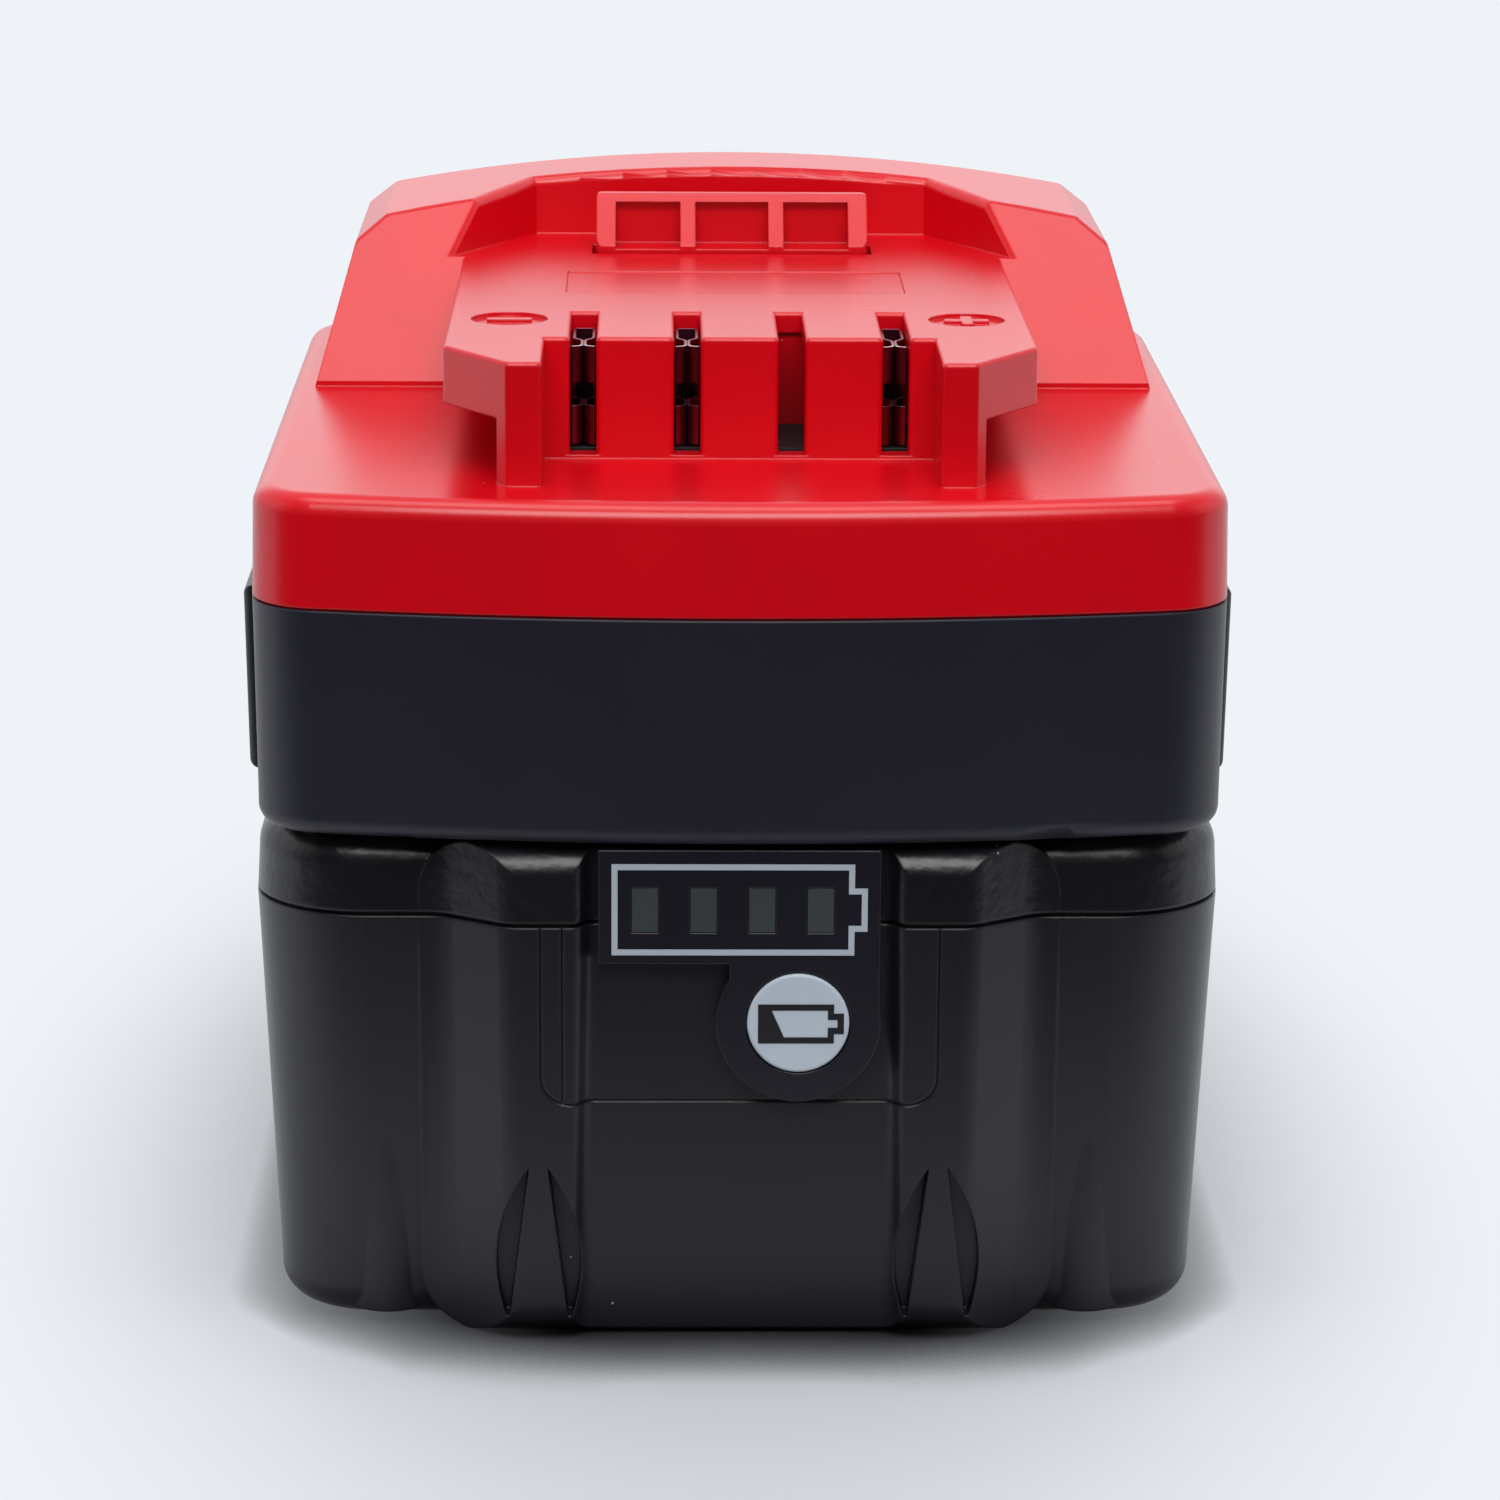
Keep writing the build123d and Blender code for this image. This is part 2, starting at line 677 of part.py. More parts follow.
# Release pads: a button in the side window, a flange behind the wall and an arm to the latch's wing
release_spring_wire_r = 0.2
release_spring_turns = 6
arm_tip_gap = running_gap
for side, side_name in ((-1, "left"), (1, "right")):
    with BuildPart() as release_pad:
        with BuildSketch(Plane.XZ.offset(-y_at(pad_front_setback))):
            with BuildLine():
                Polyline(
                    (side * pad_inner_x, pad_bottom_z),
                    (side * (pad_outer_x - pad_lean), pad_bottom_z),
                    (side * pad_outer_x, pad_top_z),
                    (side * pad_inner_x, pad_top_z),
                    close=True,
                )
            make_face()
        extrude(amount=-pad_length)
        outer_face = release_pad.faces().sort_by(Axis.X)[-1 if side > 0 else 0]
        fillet(outer_face.edges(), pad_edge_r)
        for step in range(pad_groove_count):
            groove_setback = (pad_front_setback + pad_rear_setback) / 2 + pad_groove_pitch * (
                step - (pad_groove_count - 1) / 2
            )
            slab(
                2 * pad_groove_depth,
                groove_setback - pad_groove_width / 2,
                groove_setback + pad_groove_width / 2,
                pad_bottom_z + pad_groove_width,
                pad_top_z - pad_groove_width,
                x=side * pad_outer_x,
                mode=Mode.SUBTRACT,
            )
        # Flange behind the wall, and the upright that carries the arm above the roof
        flange_middle_x = side * (pad_flange_x + pad_inner_x) / 2
        arm_front_setback = latch_middle_setback - arm_depth / 2
        arm_rear_setback = arm_front_setback + arm_depth
        arm_bottom_z = latch_bottom_z + slip_gap
        arm_top_z = arm_bottom_z + arm_thickness
        slab(
            pad_flange_thickness,
            pad_front_setback - pad_flange_lip,
            pad_rear_setback + pad_flange_lip,
            pad_bottom_z,
            pad_top_z + pad_flange_lip,
            x=flange_middle_x,
        )
        slab(
            pad_flange_thickness,
            pad_rear_setback - pad_flange_lip,
            arm_rear_setback,
            pad_top_z - pad_flange_lip,
            arm_top_z,
            x=flange_middle_x,
        )
        # Arm whose sloped tip stands over the wing, parallel to it
        tip_shift = arm_tip_gap + wing_slope * slip_gap
        tip_low_x = wing_low_x - wing_slope * (arm_bottom_z - latch_bottom_z) + tip_shift
        tip_high_x = tip_low_x - wing_slope * arm_thickness
        with BuildSketch(Plane.XZ.offset(-y_at(arm_front_setback))):
            with BuildLine():
                Polyline(
                    (side * tip_low_x, arm_bottom_z),
                    (side * pad_inner_x, arm_bottom_z),
                    (side * pad_inner_x, arm_top_z),
                    (side * tip_high_x, arm_top_z),
                    close=True,
                )
            make_face()
        extrude(amount=-arm_depth)
        # Blind hole for the spring
        spring_z = (pad_bottom_z + pad_top_z) / 2
        spring_hole = pad_outer_x - pad_skin - pad_inner_x
        with Locations(
            Location((side * pad_inner_x, y_at(release_spring_setback), spring_z), (0, -side * 90, 0))
        ):
            Hole(release_spring_r + slip_gap, depth=spring_hole)
    release_pad.part.label = f"release_pad_{side_name}"
    export_step(release_pad.part, f"parts/release_pad_{side_name}.step")

    release_spring = coil_spring(
        (side * channel_outer_half, y_at(release_spring_setback), spring_z),
        (side, 0, 0),
        pad_outer_x - pad_skin - channel_outer_half,
        release_spring_r,
        release_spring_wire_r,
        release_spring_turns,
    )
    release_spring.label = f"release_spring_{side_name}"
    export_step(release_spring, f"parts/release_spring_{side_name}.step")

# Terminal carrier: black block that closes the terminal bay from below and holds the three contacts
strap_thickness = 0.8
strap_width = 4.4
carrier_fit = 0.15
carrier_rise = 0.5
carrier_flange_reach = 1.8
carrier_flange_thickness = 1.6
carrier_bottom_rise = 4.9
carrier_leg_width = 1.7
contact_width = 1.9
contact_rear_setback = 29.8
contact_base_front = 25.0
contact_front_setback = 21.0
contact_metal = 0.4
contact_pinch_setback = 22.6
contact_pinch_half = 0.3
contact_base_z = deck_z - 5.1
contact_lower_jaw_z = deck_z + 1.05
contact_lower_jaw_height = 2.95
contact_jaw_gap = 1.9
contact_upper_jaw_z = contact_lower_jaw_z + contact_lower_jaw_height + contact_jaw_gap
contact_upper_jaw_height = 2.7
contact_tail_depth = 1.2
contact_fit = 0.1
carrier_half = tool_neck_width / 2 - platform_side_wall - carrier_fit
carrier_front = cavity_front + carrier_fit
carrier_rear = compartment_end_setback - carrier_fit
carrier_bottom_z = bay_floor_z + carrier_bottom_rise
carrier_top_z = deck_z + carrier_rise
contact_spots = {"negative": slot_spots[0], "signal": slot_spots[1], "positive": slot_spots[3]}

with BuildPart() as terminal_carrier:
    slab(2 * carrier_half, carrier_front, carrier_rear, carrier_bottom_z, carrier_top_z)
    slab(
        2 * (carrier_half + carrier_flange_reach),
        carrier_front - carrier_flange_reach,
        carrier_rear + carrier_flange_reach,
        deck_under_z - carrier_flange_thickness,
        deck_under_z,
    )
    for side in (-1, 1):
        slab(
            carrier_leg_width,
            carrier_front,
            carrier_rear,
            bay_floor_z,
            carrier_bottom_z,
            x=side * (carrier_half - carrier_leg_width / 2),
        )
    for x in contact_spots.values():
        slab(
            contact_width + 2 * contact_fit,
            contact_base_front - contact_fit,
            contact_rear_setback + contact_fit,
            contact_base_z,
            carrier_top_z,
            x=x,
            mode=Mode.SUBTRACT,
        )
        slab(
            contact_width + 2 * contact_fit,
            contact_rear_setback - contact_tail_depth - contact_fit,
            contact_rear_setback + contact_fit,
            carrier_bottom_z,
            contact_base_z,
            x=x,
            mode=Mode.SUBTRACT,
        )
terminal_carrier.part.label = "terminal_carrier"
export_step(terminal_carrier.part, "parts/terminal_carrier.step")

# Tool contacts: folded spring clips with an upper and a lower pair of jaws, seen through the slots
strap_top_z = bay_floor_z + strap_thickness
board_top_z = bay_floor_z + board_standoff + board_thickness
contact_top_z = contact_upper_jaw_z + contact_upper_jaw_height
for contact_name, contact_x in contact_spots.items():
    tail_end_z = board_top_z if contact_name == "signal" else strap_top_z
    outer = contact_width / 2
    pinch = contact_pinch_half
    with BuildPart() as tool_contact:
        with BuildSketch(Plane.XY.offset(contact_base_z)):
            for side in (-1, 1):
                with BuildLine():
                    Polyline(
                        (contact_x + side * outer, y_at(contact_rear_setback)),
                        (contact_x + side * outer, y_at(contact_base_front)),
                        (contact_x + side * (pinch + contact_metal), y_at(contact_pinch_setback)),
                        (contact_x + side * outer, y_at(contact_front_setback)),
                        (contact_x + side * (outer - contact_metal), y_at(contact_front_setback)),
                        (contact_x + side * pinch, y_at(contact_pinch_setback)),
                        (contact_x + side * (outer - contact_metal), y_at(contact_base_front)),
                        (contact_x + side * (outer - contact_metal), y_at(contact_rear_setback)),
                        close=True,
                    )
                make_face()
            with Locations((contact_x, y_at(contact_rear_setback - contact_metal / 2))):
                Rectangle(contact_width, contact_metal)
        extrude(amount=contact_top_z - contact_base_z)
        # The spring leaves are cut free in front of the folded base, above, between and below the jaws
        jaw_gaps = (
            (contact_base_z, contact_lower_jaw_z),
            (contact_lower_jaw_z + contact_lower_jaw_height, contact_upper_jaw_z),
        )
        for gap_bottom, gap_top in jaw_gaps:
            slab(
                contact_width + 2 * contact_fit,
                contact_front_setback - contact_fit,
                contact_base_front,
                gap_bottom,
                gap_top,
                x=contact_x,
                mode=Mode.SUBTRACT,
            )
        slab(
            contact_width,
            contact_rear_setback - contact_metal,
            contact_rear_setback,
            tail_end_z,
            contact_base_z,
            x=contact_x,
        )
    tool_contact.part.label = f"tool_contact_{contact_name}"
    export_step(tool_contact.part, f"parts/tool_contact_{contact_name}.step")

# Blade holder: black block under the roof, at the front end of the pack's channel
signal_plug_width = 8.4
signal_plug_thickness = 1.4
signal_plug_tip_setback = 18.0
signal_plug_z = neck_top_z + 1.8
with BuildPart() as blade_holder:
    slab(holder_width, holder_front_setback, holder_rear_setback, neck_top_z, roof_z)
    for side in (-1, 1):
        slab(
            blade_thickness + 2 * blade_fit,
            blade_tail_front - blade_fit,
            holder_rear_setback,
            blade_bottom_z - blade_fit,
            roof_z,
            x=side * blade_x,
            mode=Mode.SUBTRACT,
        )
    slab(
        signal_plug_width + 2 * blade_fit,
        blade_tail_front,
        holder_rear_setback,
        signal_plug_z - blade_fit,
        signal_plug_z + signal_plug_thickness + blade_fit,
        mode=Mode.SUBTRACT,
    )
blade_holder.part.label = "blade_holder"
export_step(blade_holder.part, "parts/blade_holder.step")

with BuildPart() as signal_plug:
    slab(
        signal_plug_width,
        blade_tail_front,
        signal_plug_tip_setback,
        signal_plug_z,
        signal_plug_z + signal_plug_thickness,
    )
    tip_edges = signal_plug.edges().filter_by(Axis.X).group_by(Axis.Y)[-1]
    chamfer(tip_edges, signal_plug_thickness / 4)
signal_plug.part.label = "signal_plug"
export_step(signal_plug.part, "parts/signal_plug.step")

# Pack-side blades and the flat straps that carry the current back to the tool contacts
for side, pole in ((-1, "negative"), (1, "positive")):
    with BuildPart() as pack_blade:
        slab(
            blade_thickness,
            blade_tail_front,
            blade_tip_setback,
            blade_bottom_z,
            blade_top_z,
            x=side * blade_x,
        )
        blade_tip_edges = pack_blade.edges().filter_by(Axis.Z).group_by(Axis.Y)[-1]
        chamfer(blade_tip_edges, blade_thickness / 4)
        slab(blade_thickness, blade_tail_front, blade_tail_rear, blade_top_z, bay_floor_z, x=side * blade_x)
    pack_blade.part.label = f"pack_blade_{pole}"
    export_step(pack_blade.part, f"parts/pack_blade_{pole}.step")

    with BuildPart() as power_strap:
        slab(strap_width, blade_tail_front, contact_rear_setback, bay_floor_z, strap_top_z, x=side * blade_x)
        fillet(power_strap.edges().filter_by(Axis.Z), strap_width / 4)
    power_strap.part.label = f"power_strap_{pole}"
    export_step(power_strap.part, f"parts/power_strap_{pole}.step")

# Adapter circuit board on its standoffs, with the chips that pass the pack's signal on
chip_size = 5.0
chip_height = 1.2
coil_size = 7.0
coil_height = 3.0
chip_pitch = 8.0
chip_front_setback = board_rear_setback - 2 * chip_pitch
with BuildPart() as adapter_board:
    slab(
        board_width,
        board_front_setback,
        board_rear_setback,
        bay_floor_z + board_standoff,
        board_top_z,
    )
    fillet(adapter_board.edges().filter_by(Axis.Z), standoff_r / 2)
adapter_board.part.label = "adapter_board"
export_step(adapter_board.part, "parts/adapter_board.step")

with BuildPart() as adapter_chips:
    for column in (-1, 1):
        chip_x = column * chip_pitch / 2
        slab(
            chip_size,
            chip_front_setback,
            chip_front_setback + chip_size,
            board_top_z,
            board_top_z + chip_height,
            x=chip_x,
        )
    slab(
        coil_size,
        chip_front_setback + chip_pitch,
        chip_front_setback + chip_pitch + coil_size,
        board_top_z,
        board_top_z + coil_height,
    )
adapter_chips.part.label = "adapter_board_chips"
export_step(adapter_chips.part, "parts/adapter_board_chips.step")

# Pack plan: simple rounded body, and the relief that stands forward of its front face
rib_front_setback = 1.5
middle_setback = 2.8
middle_half_width = 11.7
rib_inner_flank = 1.0
rib_width = 5.5
rib_outer_flank = 5.3
rib_inner_x = middle_half_width + rib_inner_flank
rib_outer_x = rib_inner_x + rib_width
rib_foot_x = rib_outer_x + rib_outer_flank
rib_foot_r = 4.0
rib_outer_r = 3.0
rib_inner_r = 1.2
valley_r = 0.8
relief_root_margin = 2.5
relief_side_margin = 1.7
relief_root_x = rib_foot_x + relief_root_margin
relief_side_x = rib_foot_x + relief_side_margin
relief_side_r = 4.5
relief_root_setback = 12.0


def pack_outline(level, inset=0.0):
    front = y_at(pack_front_setback)
    rear = y_at(overall_length)
    with BuildSketch(Plane.XY.offset(level)) as outline:
        with Locations((0, (front + rear) / 2)):
            Rectangle(pack_width, rear - front)
        fillet(outline.vertices().group_by(Axis.Y)[0], pack_front_corner_r)
        fillet(outline.vertices().group_by(Axis.Y)[-1], pack_rear_corner_r)
        if inset > 0:
            offset(amount=-inset)
    return outline.sketch


def relief_outline(level, inset=0.0):
    """Two upright ribs with the gauge's flat middle between them."""
    right = [
        (middle_half_width, y_at(middle_setback)),
        (rib_inner_x, y_at(rib_front_setback)),
        (rib_outer_x, y_at(rib_front_setback)),
        (rib_foot_x, y_at(pack_front_setback)),
        (relief_root_x, y_at(pack_front_setback)),
        (relief_root_x, y_at(relief_root_setback)),
    ]
    left = [(-x, y) for x, y in reversed(right)]
    with BuildSketch(Plane.XY.offset(level)) as outline:
        with BuildLine():
            Polyline(*right, *left, close=True)
        make_face()
        for (x, y), radius in zip(right, (valley_r, rib_inner_r, rib_outer_r, rib_foot_r)):
            corners = [
                corner
                for corner in outline.vertices()
                if abs(abs(corner.X) - x) < slip_gap and abs(corner.Y - y) < slip_gap
            ]
            fillet(corners, radius)
        if inset > 0:
            offset(amount=-inset)
    return outline.sketch


def relief_form(bottom, top, draft, bottom_r=0.0, top_r=0.0):
    """The relief between two levels, its front edge rounded over at the bottom or at the top."""
    front = y_at(rib_front_setback)
    behind = y_at(relief_root_setback + 2)
    lean = (top - bottom) * tan(radians(draft))
    with BuildPart() as form:
        extrude(relief_outline(top), amount=bottom - top, taper=draft)
        with BuildSketch(Plane.YZ.offset(-pack_width / 2)) as side_view:
            with BuildLine():
                Polyline((behind, bottom), (behind, top), (front, top), (front + lean, bottom), close=True)
            make_face()
            if bottom_r > 0:
                fillet(side_view.vertices().group_by(Axis.Y)[0].sort_by(Axis.X)[0], bottom_r)
            if top_r > 0:
                fillet(side_view.vertices().group_by(Axis.Y)[-1].sort_by(Axis.X)[0], top_r)
        extrude(amount=pack_width, mode=Mode.INTERSECT)
        # Seen from the front, the outer corners of the rounded end are rounded too
        with BuildSketch(Plane.XZ.offset(-front_y)) as front_view:
            with Locations((0, (bottom + top) / 2)):
                Rectangle(2 * relief_side_x, top - bottom)
            if bottom_r > 0:
                fillet(front_view.vertices().group_by(Axis.Y)[0], relief_side_r)
            if top_r > 0:
                fillet(front_view.vertices().group_by(Axis.Y)[-1], relief_side_r)
        extrude(amount=-2 * relief_root_setback, mode=Mode.INTERSECT)
    return form.part


# Charge gauge: places shared by the pack's case, its cover, the bezel, the light pipes and the button
bezel_thickness = 1.3
bezel_left_gap = 0.65
bezel_right_gap = 0.75
bezel_drop = 2.9
bezel_left_x = bezel_left_gap - middle_half_width
bezel_right_x = middle_half_width - bezel_right_gap
bezel_bottom_z = part_line_z - bezel_drop
bezel_top_gap = 0.2
bezel_top_z = pack_height - bezel_top_gap
bezel_edge_r = 0.3
button_x = 4.6
button_drop = 7.7
button_z = part_line_z - button_drop
button_r = 4.02
button_gap = 0.12
button_travel = 0.5
bezel_bulge_r = 6.46
bezel_join_x = -0.8
window_count = 4
window_pitch = 4.57
window_middle_x = -0.56
window_width = 2.05
window_height = 3.55
window_rise = 1.45
window_middle_z = part_line_z + window_rise
window_gap = 0.05
pipe_bar_thickness = 1.0
button_flange_r = 4.8
button_flange_thickness = 0.8
button_stem_r = 1.5
gauge_board_setback = 10.0
gauge_board_thickness = 1.2
gauge_board_width = 22.0
gauge_board_drop = 6.5
gauge_board_top_gap = 0.5
gauge_board_bottom_z = button_z - gauge_board_drop
gauge_board_top_z = pack_height - cover_plate - gauge_board_top_gap
gauge_rib_height = 5.0
bezel_front_setback = middle_setback - bezel_thickness
button_pocket_depth = button_flange_thickness + button_travel + 2 * running_gap
window_bar_width = (window_count - 1) * window_pitch + window_width
window_spots = [
    window_middle_x + window_pitch * (step - (window_count - 1) / 2) for step in range(window_count)
]

# Pack screws: places shared by the case, the cover and the screws
pack_screw_side_margin = 10.4
pack_screw_rear_margin = 5.4
pack_screw_x = pack_width / 2 - pack_screw_side_margin
pack_screw_front = 9.2
pack_screw_rear = overall_length - pack_screw_rear_margin
pack_boss_r = 3.4
cover_boss_r = 2.6
pack_screw_seat_drop = 8.2
pack_screw_reach = 3.3
pack_screw_seat_z = part_line_z - pack_screw_seat_drop
pack_screw_top_z = part_line_z + pack_screw_reach
pack_screw_spots = [
    (side * pack_screw_x, y_at(setback))
    for side in (-1, 1)
    for setback in (pack_screw_front, pack_screw_rear)
]

# Thumb scoops at the feet of the two ribs, and the fine panel line round the gauge
scoop_rib_step = 3.1
scoop_x = rib_inner_x + scoop_rib_step
scoop_half_width = 3.3
scoop_bottom_z = 1.8
scoop_middle_z = 7.6
scoop_top_z = 15.3
scoop_foot_half_width = 2.6
scoop_bar_top_width = 1.2
scoop_bar_foot_width = 4.6
scoop_depth = 2.8
panel_line_drop = 14.6
panel_line_upturn = 2.2
panel_line_z = part_line_z - panel_line_drop
panel_line_width = 0.18
panel_line_depth = 0.15
panel_line_half = 13.2
panel_line_end_x = 15.6
panel_line_end_z = panel_line_z + panel_line_upturn
panel_upright_x = 13.9

# Pack case: lower shell with the relief, the scoops and the screw bosses
with BuildPart() as pack_case:
    extrude(pack_outline(part_line_z), amount=-part_line_z, taper=case_draft)
    fillet(pack_case.edges().group_by(Axis.Z)[0], case_edge_r)
    add(relief_form(0.0, part_line_z, relief_draft, bottom_r=case_edge_r))
    extrude(
        pack_outline(part_line_z, pack_wall),
        amount=case_floor - part_line_z,
        taper=case_draft,
        mode=Mode.SUBTRACT,
    )
    # Scoops, each with a bar left standing in the middle that widens towards the foot
    with BuildSketch(Plane.XZ.offset(-front_y)):
        for side in (-1, 1):
            scoop_middle_x = side * scoop_x
            with BuildLine():
                for flank in (-1, 1):
                    ThreePointArc(
                        (scoop_middle_x, scoop_top_z),
                        (scoop_middle_x + flank * scoop_half_width, scoop_middle_z),
                        (scoop_middle_x + flank * scoop_foot_half_width, scoop_bottom_z),
                    )
                Line(
                    (scoop_middle_x - scoop_foot_half_width, scoop_bottom_z),
                    (scoop_middle_x + scoop_foot_half_width, scoop_bottom_z),
                )
            make_face()
        for side in (-1, 1):
            with BuildLine():
                Polyline(
                    (side * scoop_x - scoop_bar_top_width / 2, scoop_top_z),
                    (side * scoop_x + scoop_bar_top_width / 2, scoop_top_z),
                    (side * scoop_x + scoop_bar_foot_width / 2, scoop_bottom_z),
                    (side * scoop_x - scoop_bar_foot_width / 2, scoop_bottom_z),
                    close=True,
                )
            make_face(mode=Mode.SUBTRACT)
    extrude(amount=-(rib_front_setback + scoop_depth), mode=Mode.SUBTRACT)
    # Panel line: a shallow groove that follows the relief and turns up to the part line
    groove_core = extrude(
        relief_outline(part_line_z, panel_line_depth),
        amount=-part_line_z,
        taper=relief_draft,
        mode=Mode.PRIVATE,
    )
    with BuildSketch(Plane.XZ.offset(-front_y), mode=Mode.PRIVATE) as panel_lines:
        with BuildLine():
            Line((-panel_line_half, panel_line_z), (panel_line_half, panel_line_z))
            for side in (-1, 1):
                TangentArc(
                    (side * panel_line_half, panel_line_z),
                    (side * panel_line_end_x, panel_line_end_z),
                    tangent=(side, 0),
                )
                Line((side * panel_line_end_x, panel_line_end_z), (side * panel_line_end_x, part_line_z))
            Line((-panel_upright_x, panel_line_z), (-panel_upright_x, part_line_z))
        trace(line_width=panel_line_width)
    groove_reach = extrude(panel_lines.sketch, amount=-pack_front_setback, mode=Mode.PRIVATE)
    add(groove_reach - groove_core, mode=Mode.SUBTRACT)
    # Pocket and hole for the check button, and the notch under the light pipes
    with BuildSketch(Plane.XZ.offset(-front_y)):
        with Locations((button_x, button_z)):
            Circle(button_flange_r + button_gap)
    extrude(amount=-(middle_setback + button_pocket_depth), mode=Mode.SUBTRACT)
    with BuildSketch(Plane.XZ.offset(-front_y)):
        with Locations((button_x, button_z)):
            Circle(button_stem_r + button_gap)
    extrude(amount=-gauge_board_setback, mode=Mode.SUBTRACT)
    slab(
        window_bar_width + 2 * running_gap,
        rib_front_setback,
        gauge_board_setback,
        window_middle_z - window_height / 2 - running_gap,
        part_line_z,
        x=window_middle_x,
        mode=Mode.SUBTRACT,
    )
    # Two ribs that the gauge board leans on
    for side in (-1, 1):
        slab(
            case_floor,
            pack_front_setback + pack_wall,
            gauge_board_setback,
            gauge_board_bottom_z,
            gauge_board_bottom_z + gauge_rib_height,
            x=side * (gauge_board_width / 2 - case_floor),
        )
    # Screw bosses, counterbored from below
    with BuildSketch(Plane.XY.offset(case_floor / 2)):
        with Locations(*pack_screw_spots):
            Circle(pack_boss_r)
    extrude(amount=part_line_z - case_floor / 2)
    with Locations(*[Location((x, y, 0), (180, 0, 0)) for x, y in pack_screw_spots]):
        CounterBoreHole(
            screw_shank_r + slip_gap,
            screw_head_r + slip_gap,
            pack_screw_seat_z,
            part_line_z + slip_gap,
        )
pack_case.part.label = "pack_case"
export_step(pack_case.part, "parts/pack_case.step")

# Pack latch: measures shared by the cover, the latch and its spring
latch_bar_top_z = crown_top_z - latch_bar_gap
latch_bar_bottom_z = latch_bar_top_z - latch_bar_thickness
rear_block_rear_margin = 2.5
rear_block_side_step = 1.5
rear_block_rise = 1.6
rear_block_front = adapter_length + 2 * running_gap
rear_block_rear = overall_length - rear_block_rear_margin
rear_block_width = rail_flange_width + 2 * rear_block_side_step
rear_block_top_z = crown_top_z + rear_block_rise
latch_pad_front_margin = 2.4
latch_pad_rear_margin = 3.0
latch_pad_front = rear_block_front + latch_pad_front_margin
pack_latch_rear = rear_block_rear - latch_pad_rear_margin
latch_lug_reach = 1.8
latch_lug_height = 1.4
latch_lug_margin = 1.0
latch_lug_front = latch_pad_front + latch_lug_margin
latch_lug_rear = pack_latch_rear - latch_lug_margin
rear_block_edge_r = 2.0
latch_pad_proud = 0.5
latch_well_wall = 1.2
latch_well_floor_z = latch_bar_bottom_z - pack_latch_travel - running_gap
hook_half = hook_width / 2
well_half = hook_half + running_gap
lug_well_half = well_half + latch_lug_reach

# Slots and opening in the front of the rail block
blade_slot_width = 2.0
blade_slot_rear = 21.5
blade_slot_bottom_z = neck_top_z + 0.8
signal_opening_width = 10.0
signal_opening_bottom_z = neck_top_z + 1.1
signal_opening_height = 2.8

